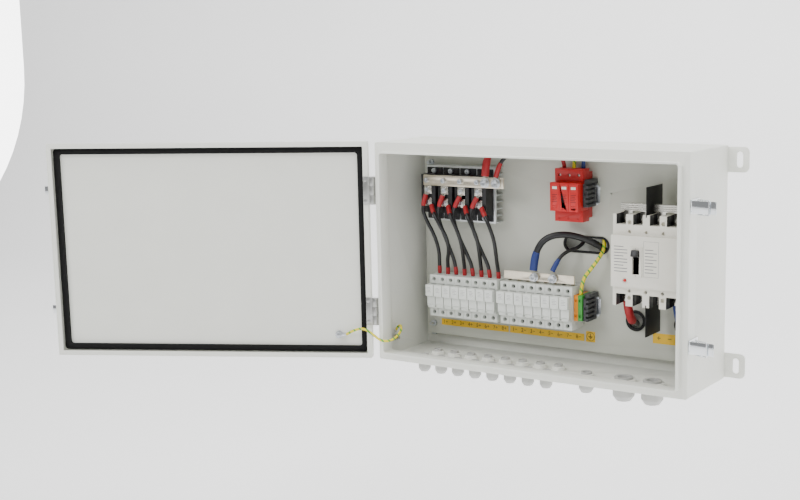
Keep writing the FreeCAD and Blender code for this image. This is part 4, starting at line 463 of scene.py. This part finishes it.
def tube(name, line, radii, sides=20):
    # a skin round a run of points, one radius in mm for each; its ends are closed
    clearSelection()
    rings, faces, points = len(line), [], []
    way = (line[1] - line[0]).normalized()
    side = way.orthogonal().normalized()
    for k, point in enumerate(line):
        ahead = (line[min(k + 1, rings - 1)] - line[max(k - 1, 0)]).normalized()
        side = (side - ahead * side.dot(ahead)).normalized()
        over = ahead.cross(side)
        for turn in range(sides):
            angle = 2 * math.pi * turn / sides
            points.append(point + (side * math.cos(angle) + over * math.sin(angle)) * radii[k] * mm)
    for k in range(rings - 1):
        for turn in range(sides):
            after = (turn + 1) % sides
            near, far = k * sides, (k + 1) * sides
            faces.append((near + turn, near + after, far + after, far + turn))
    faces.append(tuple(reversed(range(sides))))
    faces.append(tuple((rings - 1) * sides + turn for turn in range(sides)))
    mesh = bpy.data.meshes.new(name)
    mesh.from_pydata(points, [], faces)
    piece = bpy.data.objects.new(name, mesh)
    bpy.context.scene.collection.objects.link(piece)
    smooth(piece, 50)
    return piece


def sleeve(line, start, end, radius, tight):   # heat-shrink: full over the lug barrel, then down to the wire
    stretch = stretchOf(line, start, end)
    lead = (stretch[0] - stretch[1]).normalized()
    count = len(stretch)
    radii = [radius] * count
    for k in range(count):
        share = k / (count - 1)
        radii[k] = radius if share < 0.55 else radius + (tight - radius) * min(1, (share - 0.55) / 0.25)
    stretch = [stretch[0] + lead * 7 * mm, stretch[0] + lead * 6.6 * mm] + stretch
    radii = [radius - 0.5, radius] + radii
    return tube("sleeve", stretch, radii)


def ringSleeve(line, start, end, radius):   # a plain short sleeve part of the way along
    stretch = stretchOf(line, start, end)
    return tube("sleeve", stretch, [radius - 0.35] + [radius] * (len(stretch) - 2) + [radius - 0.35])


def wires(name, routes, radius, material, node):
    pieces = []
    for route in routes:
        line = runOf(route)
        pieces.append(tube(name, line, [radius] * len(line), 18))
    return give(joined(pieces, name), name, "enclosure", material, [node] if node else ())


stringLines = [runOf(route) for route in stringRoutes]
mainLines = [runOf(route) for route in mainRoutes]
thinLines = [runOf(route) for route in thinRoutes]
wires("stringLeads", stringRoutes, wireLook["string"] / 2, "insulationBlack", "string_wires")
wires("mainLeads", mainRoutes, wireLook["main"] / 2, "insulationBlack", "main_cables")
wires("surgeLeadRed", thinRoutes[:1], wireLook["thin"] / 2, "insulationBlack", "spd_wires")
wires("surgeLeadEarth", thinRoutes[1:2], wireLook["thin"] / 2, "insulationGreenYellow", None)
wires("surgeLeadBlue", thinRoutes[2:], wireLook["thin"] / 2, "insulationBlack", None)

redSleeves = [sleeve(line, 0, 14, 4.4, 3.75) for line in stringLines]
for line in stringLines:
    whole = sum((b - a).length for a, b in zip(line, line[1:])) / mm
    redSleeves.append(ringSleeve(line, whole - 20, whole - 5.5, 3.9))
redSleeves.append(sleeve(mainLines[0], 0, 26, 7.0, 6.2))
redSleeves.append(sleeve(thinLines[0], 0, 20, 4.3, 3.6))
poleRun = sum((b - a).length for a, b in zip(mainLines[0], mainLines[0][1:])) / mm
redSleeves.append(ringSleeve(mainLines[0], poleRun - 44, poleRun - 0.5, 7.4))
for line in thinLines[:1]:
    whole = sum((b - a).length for a, b in zip(line, line[1:])) / mm
    redSleeves.append(ringSleeve(line, whole - 22, whole - 5, 3.5))
give(joined(redSleeves, "redSleeves"), "redSleeves", "enclosure", "shrinkRed")
blueSleeves = [sleeve(mainLines[1], 0, 26, 7.0, 6.2)]
blueRun = sum((b - a).length for a, b in zip(mainLines[1], mainLines[1][1:])) / mm
blueSleeves.append(ringSleeve(mainLines[1], blueRun - 40, blueRun - 0.5, 7.2))
thinBlue = thinLines[2][::-1]
blueSleeves.append(sleeve(thinBlue, 0, 17, 4.4, 3.6))
blueSleeves.append(ringSleeve(thinLines[2], 5, 22, 3.5))
give(joined(blueSleeves, "blueSleeves"), "blueSleeves", "enclosure", "shrinkBlue")

bondLine = runOf(bondRoute)
bond = tube("doorBond", bondLine, [wireLook["bond"] / 2] * len(bondLine), 16)
bond.name = "doorBond"
bond.data.materials.clear()
bond.data.materials.append(materials["insulationGreenYellow"])
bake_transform(bond)
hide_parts("door_bond_wire")
print("cables made")

# sheet metal and devices: the CAD shapes with rounded edges and their finishes
# node: (piece name, finish, edge rounding in mm)
softened = {
    "enclosure_shell": ("boxShell", "powderCoatLightGrey", 0.35),
    # the mounting plate's finish is the box coat darkened with painted shade
    "mounting_panel": ("mountingPlate", "powderCoatPlatePaintedShade", 0.4),
    "door_panel": ("doorSheet", "powderCoatLightGrey", 0.6),
    "door_gasket": ("doorSeal", "foamedSeal", 2.4),
    "wall_brackets": ("wallLugs", "powderCoatLightGrey", 0.6),
    "enclosure_fixings": ("plateFixings", "zincPlatedSteel", 0.35),
    "cable_grommets": ("edgeTrims", "mouldedRubber", 0.5),
    "hinge_frame_halves": ("hingeBoxHalves", "stainlessSatin", 0.3),
    "hinge_door_leaves": ("hingeDoorHalves", "stainlessSatin", 0.3),
    "door_keepers": ("latchKeepers", "chromePlatedSteel", 0.3),
    "door_fixings": ("doorEarthStud", "zincPlatedSteel", 0.25),
    "latch_bases": ("latchBases", "chromePlatedSteel", 0.4),
    "latch_lever_upper": ("latchLeverUpper", "chromePlatedSteel", 0.35),
    "latch_lever_lower": ("latchLeverLower", "chromePlatedSteel", 0.35),
    "latch_bail_upper": ("latchBailUpper", "chromePlatedSteel", 0),
    "latch_bail_lower": ("latchBailLower", "chromePlatedSteel", 0),
    "din_rails": ("mountingRails", "zincPlatedSteel", 0.25),
    "rail_end_clamps": ("railEndClamps", "polyamideCharcoal", 0.5),
    "fuse_bases": ("fuseHolderBodies", "housingGrey", 0.4),
    "fuse_terminals": ("fuseClampScrews", "blackenedSteel", 0.2),
    "negative_busbar": ("combBar", "tinnedCopper", 0.35),
    "heat_sink": ("heatSink", "aluminiumExtruded", 0.4),
    "positive_busbar": ("collectorBar", "tinnedCopper", 0.35),
    "busbar_bolts": ("barFasteners", "zincPlatedSteel", 0.3),
    "mccb_barriers": ("phaseBarriers", "barrierSheet", 0.3),
    "mccb_bridges": ("poleBridges", "nickelPlated", 0.4),
    "mccb_handle": ("breakerToggle", "polyamideBlack", 0.5),
    "mccb_trip_button": ("tripButton", "buttonRed", 0.3),
    "output_glands": ("outputGlands", "polyamideGrey", 0.5),
    "string_glands": ("stringGlands", "polyamideGrey", 0.45),
    "gland_locknuts": ("glandNuts", "polyamideWhite", 0.3),
    "cable_lugs": ("ringTerminals", "nickelPlated", 0.2),
}
for node, (name, finish, edge) in softened.items():
    softCopy(node, name, finish, edge)
print("hardware rounded:", len(softened))

softCopy("diode_modules", "diodeModules", "polyamideBlack", 0.5,
         parts=[("nickelPlated", lambda c, n: c.y < -0.0802)])
softCopy("spd_base", "surgeBase", "surgeRedBase", 0.5,
         parts=[("nickelPlated", lambda c, n: c.y > -0.0635 and c.z > 0.136 and n.y < -0.9)])
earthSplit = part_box("earth_terminal")
earthMiddle = (earthSplit[0][0] + earthSplit[1][0]) / 2
softCopy("earth_terminal", "earthTerminal", "terminalGreen", 0.4,
         parts=[("terminalOrange", lambda c, n: c.x < earthMiddle and c.y < -0.045)])
def inPoleWell(centre, half):   # between the poles' side walls, short of the end faces of the case
    across = abs((centre.x - poleLook["left"]) % poleLook["pitch"] - poleLook["pitch"] / 2)
    beyond = poleLook["top"] < centre.z < poleLook["end"] or -poleLook["foot"] < centre.z < poleLook["bottom"]
    return across < half and beyond


poleLook = {"left": 0.140, "pitch": 0.030, "top": 0.0695, "end": 0.085, "bottom": -0.0475, "foot": 0.066}
softCopy("mccb_base", "breakerBase", "caseIvory", 0.6,
         parts=[("polyamideBlack", lambda c, n: inPoleWell(c, 0.0125) and -0.0865 < c.y < -0.045),
                ("nickelPlated", lambda c, n: -0.0727 < c.y < -0.0685 and abs(n.y) > 0.5
                 and (c.z > 0.068 or c.z < -0.049))])
softCopy("mccb_cover", "breakerCover", "caseIvory", 0.8,
         parts=[("polyamideCharcoal", lambda c, n: inPoleWell(c, 0.0092) and c.y > -0.1095),
                ("zincPlatedSteel", lambda c, n: c.y > -0.1003 and n.y < -0.9
                 and (abs(c.z - 0.0619) < 0.003 or abs(c.z + 0.0414) < 0.003))])
for k in (1, 2, 3):
    softCopy("spd_module_%d" % k, "surgeModule%d" % k, "surgeRed", 0.6)
print("devices rounded")

# the two screw-in fuse drawers differ only in place: white ceramic inside, grey outside
carrierLook = {"edge": 0.45, "lens": (3.4, 2.2), "count": 8}
for word in ("pos", "neg"):
    for k in range(1, carrierLook["count"] + 1):
        node = "%s_fuse_carrier_%d" % (word, k)
        low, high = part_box(node)
        rear = low[1] + 0.0167
        softCopy(node, "fuseDrawer_%s%d" % (word, k), "carrierGrey", carrierLook["edge"],
                 parts=[("ceramicWhite", lambda c, n, rear=rear, z=low[2]:
                         c.y > rear and z + 0.0042 < c.z < z + 0.0400)])
print("fuse drawers done")


# printed film labels on the plate
labelLook = {"back": -27.05, "thick": 0.25, "digit": 9.8}


def filmLabel(name, left, right, low, high, material="labelYellow"):
    front = labelLook["back"] - labelLook["thick"]
    film = slab(name, (left, front, low), (right, labelLook["back"], high), 0)
    return give(film, name, "enclosure", material)


filmLabel("stringLabelPlus", -252, -106, -154.5, -142.5)
filmLabel("stringLabelMinus", -103, 48.5, -154.5, -141.5)
filmLabel("earthLabel", 52, 70, -155, -136, "labelYellow")
filmLabel("outputLabel", 180, 222, -144, -126, "labelYellow")
printFront = labelLook["back"] - labelLook["thick"] - 0.02
numbers = []
for k in range(8):
    numbers.append(words("%d+" % (k + 1), labelLook["digit"], (-243 + 18.2 * k, printFront, -148.5)))
    numbers.append(words("%d−" % (k + 1), labelLook["digit"], (-93 + 18.6 * k, printFront, -148)))
numbers.append(words("+", 14, (191, printFront, -135)))
numbers.append(words("−", 14, (211, printFront, -135)))


def earthSymbol(x, z, size):   # stem over three bars, in a ring
    bars = [slab("earthStem", (x - size * 0.05, printFront - 0.06, z),
                 (x + size * 0.05, printFront, z + size * 0.42), 0)]
    for k, half in enumerate((0.34, 0.22, 0.1)):
        top = z - size * 0.13 * k
        bars.append(slab("earthBar", (x - size * half, printFront - 0.06, top - size * 0.045),
                         (x + size * half, printFront, top + size * 0.045), 0))
    clearSelection()
    bpy.ops.mesh.primitive_torus_add(major_radius=size * 0.58 * mm, minor_radius=size * 0.035 * mm,
                                     major_segments=40, minor_segments=6, location=Vector((x, printFront,
                                                                                           z)) * mm,
                                     rotation=(math.pi / 2, 0, 0))
    ring = bpy.context.object
    ring.scale = (1, 1, 0.3)
    settle(ring)
    bars.append(ring)
    return bars


numbers += earthSymbol(61, -145.5, 13)
give(joined(numbers, "panelPrint"), "panelPrint", "enclosure", "printBlack")
print("labels made")


# what is printed on the devices: windows, level bars and symbols without words
coverFront = -111.0
printFace, printBack = coverFront - 0.08, coverFront + 0.05
rules = []
for k in range(9):
    wide = 24 if k % 3 else 17
    rules.append(slab("rule", (146, printFace, 33 - 5.2 * k), (146 + wide, printBack, 34.3 - 5.2 * k), 0))
for k in range(8):
    wide = 21 if k % 2 else 15
    rules.append(slab("rule", (201.5, printFace, 30 - 5.4 * k), (201.5 + wide, printBack, 31.2 - 5.4 * k), 0))
for low, high in (((199, -14.5), (226, -14.1)), ((199, 44.1), (226, 44.5))):
    rules.append(slab("rule", (low[0], printFace, low[1]), (high[0], printBack, high[1]), 0))
for x in (199, 225.6):
    rules.append(slab("rule", (x, printFace, -14.5), (x + 0.4, printBack, 44.5), 0))
rules.append(words("I", 5, (186, coverFront - 2.05, 31.6)))
rules.append(words("0", 4, (186, coverFront - 2.05, -13.4)))
give(joined(rules, "breakerPrint"), "breakerPrint", "enclosure", "printGrey")

for k in (1, 2, 3):
    low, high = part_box("spd_module_%d" % k)
    left, right = low[0] / mm + 3.6, high[0] / mm - 3.6
    front = low[1] / mm
    lines = [slab("mark", (left, front - 0.05, 110 - 3 * row),
                  (right - 2 * (row % 2), front + 0.05, 110.8 - 3 * row), 0)
             for row in range(5)]
    give(joined(lines, "surgePrint%d" % k), "surgePrint%d" % k, "spd_module_%d" % k, "printBlack")
    lens = slab("surgeWindow%d" % k, (left + 0.6, front + 0.2, 120), (right - 0.6, front + 0.75, 124.4), 0.2)
    give(lens, "surgeWindow%d" % k, "spd_module_%d" % k, "windowPale")

for word in ("pos", "neg"):
    for k in range(1, 9):
        node = "%s_fuse_carrier_%d" % (word, k)
        low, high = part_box(node)
        middle = (low[0] + high[0]) / 2 / mm
        front, top = low[1] / mm, high[2] / mm
        lines = []
        for row in range(4):
            lines.append(slab("mark", (middle - 4.2, front - 0.04, top - 5.5 - 2.6 * row),
                              (middle + (4.2 if row % 2 else 2.0), front + 0.05, top - 5 - 2.6 * row), 0))
        name = "fuseMarks_%s%d" % (word, k)
        give(joined(lines, name), name, node, "printGrey")
print("device print done")


# floor, backdrop and light
studio = {"floor": -0.62, "back": 2.6, "half": 4.5, "front": -4.5, "curve": 0.9}


def makeSweep(look):
    clearSelection()
    bpy.ops.mesh.primitive_plane_add(size=1, location=(0, 0, look["floor"]))
    sweep = bpy.context.object
    sweep.scale = (2 * look["half"], look["back"] - look["front"], 1)
    sweep.location.y = (look["back"] + look["front"]) / 2
    settle(sweep)
    bpy.ops.object.mode_set(mode="EDIT")
    bpy.ops.mesh.select_all(action="DESELECT")
    bpy.ops.object.mode_set(mode="OBJECT")
    for edge in sweep.data.edges:
        ends = [sweep.data.vertices[k].co for k in edge.vertices]
        edge.select = all(end.y > look["back"] - 0.001 for end in ends)
    bpy.ops.object.mode_set(mode="EDIT")
    bpy.ops.mesh.extrude_region_move(TRANSFORM_OT_translate={"value": (0, 0, 4.0)})
    bpy.ops.object.mode_set(mode="OBJECT")
    corner = [e.index for e in sweep.data.edges
              if all(abs(sweep.data.vertices[k].co.z - look["floor"]) < 1e-4
                     and sweep.data.vertices[k].co.y > look["back"] - 0.001 for k in e.vertices)]
    makeActive(sweep)
    bpy.ops.object.mode_set(mode="EDIT")
    bpy.ops.mesh.select_all(action="DESELECT")
    bpy.ops.object.mode_set(mode="OBJECT")
    for index in corner:
        sweep.data.edges[index].select = True
    bpy.ops.object.mode_set(mode="EDIT")
    bpy.ops.mesh.bevel(offset=look["curve"], segments=16, affect="EDGES")
    bpy.ops.object.mode_set(mode="OBJECT")
    bpy.ops.object.shade_smooth()
    sweep.name = "studioSweep"
    material = bpy.data.materials.new("paperSweep")
    material.use_nodes = True
    tree = material.node_tree
    tree.nodes.clear()
    place = addNode(tree, "ShaderNodeTexCoord")
    grain = addNode(tree, "ShaderNodeTexNoise", {"Scale": 6.0}, {"Vector": place.outputs["Object"]})
    colour = addNode(tree, "ShaderNodeMix", {"data_type": "RGBA", 6: linear("#f7f7f7"), 7: linear("#f2f2f2")},
                     {0: grain.outputs["Fac"]})
    shader = addNode(tree, "ShaderNodeBsdfPrincipled",
                     {"Roughness": 0.9, "Emission Color": (1, 1, 1, 1), "Emission Strength": 0.7},
                     {"Base Color": colour.outputs[2]})
    addNode(tree, "ShaderNodeOutputMaterial", None, {"Surface": shader.outputs["BSDF"]})
    sweep.data.materials.append(material)


makeSweep(studio)

lights = {
    "keyPanel": {"place": (-1.1, -2.7, 1.9), "aim": (0.1, 0, 0), "size": 1.5, "power": 62},
    "fillPanel": {"place": (1.9, -2.4, 0.7), "aim": (0, 0, 0), "size": 2.0, "power": 14},
    "sidePanel": {"place": (2.6, 0.25, 0.7), "aim": (0.3, 0.08, 0), "size": 1.2, "power": 26},
    "topPanel": {"place": (0, -0.2, 2.6), "aim": (0, 0, 0), "size": 2.4, "power": 40},
    "backdropPanel": {"place": (0, 0.4, 2.4), "aim": (0, 3.0, 0.6), "size": 4.0, "power": 90},
}
for name, look in lights.items():
    data = bpy.data.lights.new(name, "AREA")
    data.shape = "SQUARE"
    data.size = look["size"]
    data.energy = look["power"]
    lamp = bpy.data.objects.new(name, data)
    bpy.context.scene.collection.objects.link(lamp)
    lamp.location = look["place"]
    lamp.rotation_euler = (Vector(look["aim"]) - Vector(look["place"])).to_track_quat("-Z", "Y").to_euler()

world = bpy.data.worlds.new("studioAir")
world.use_nodes = True
tree = world.node_tree
air = tree.nodes["Background"]
air.inputs["Color"].default_value = (1, 1, 1, 1)
rays = addNode(tree, "ShaderNodeLightPath")
backdrop = addNode(tree, "ShaderNodeMapRange", {"To Min": 0.34, "To Max": 6.0},
                   {"Value": rays.outputs["Is Camera Ray"]})
tree.links.new(backdrop.outputs["Result"], air.inputs["Strength"])
bpy.context.scene.world = world
print("studio lit")
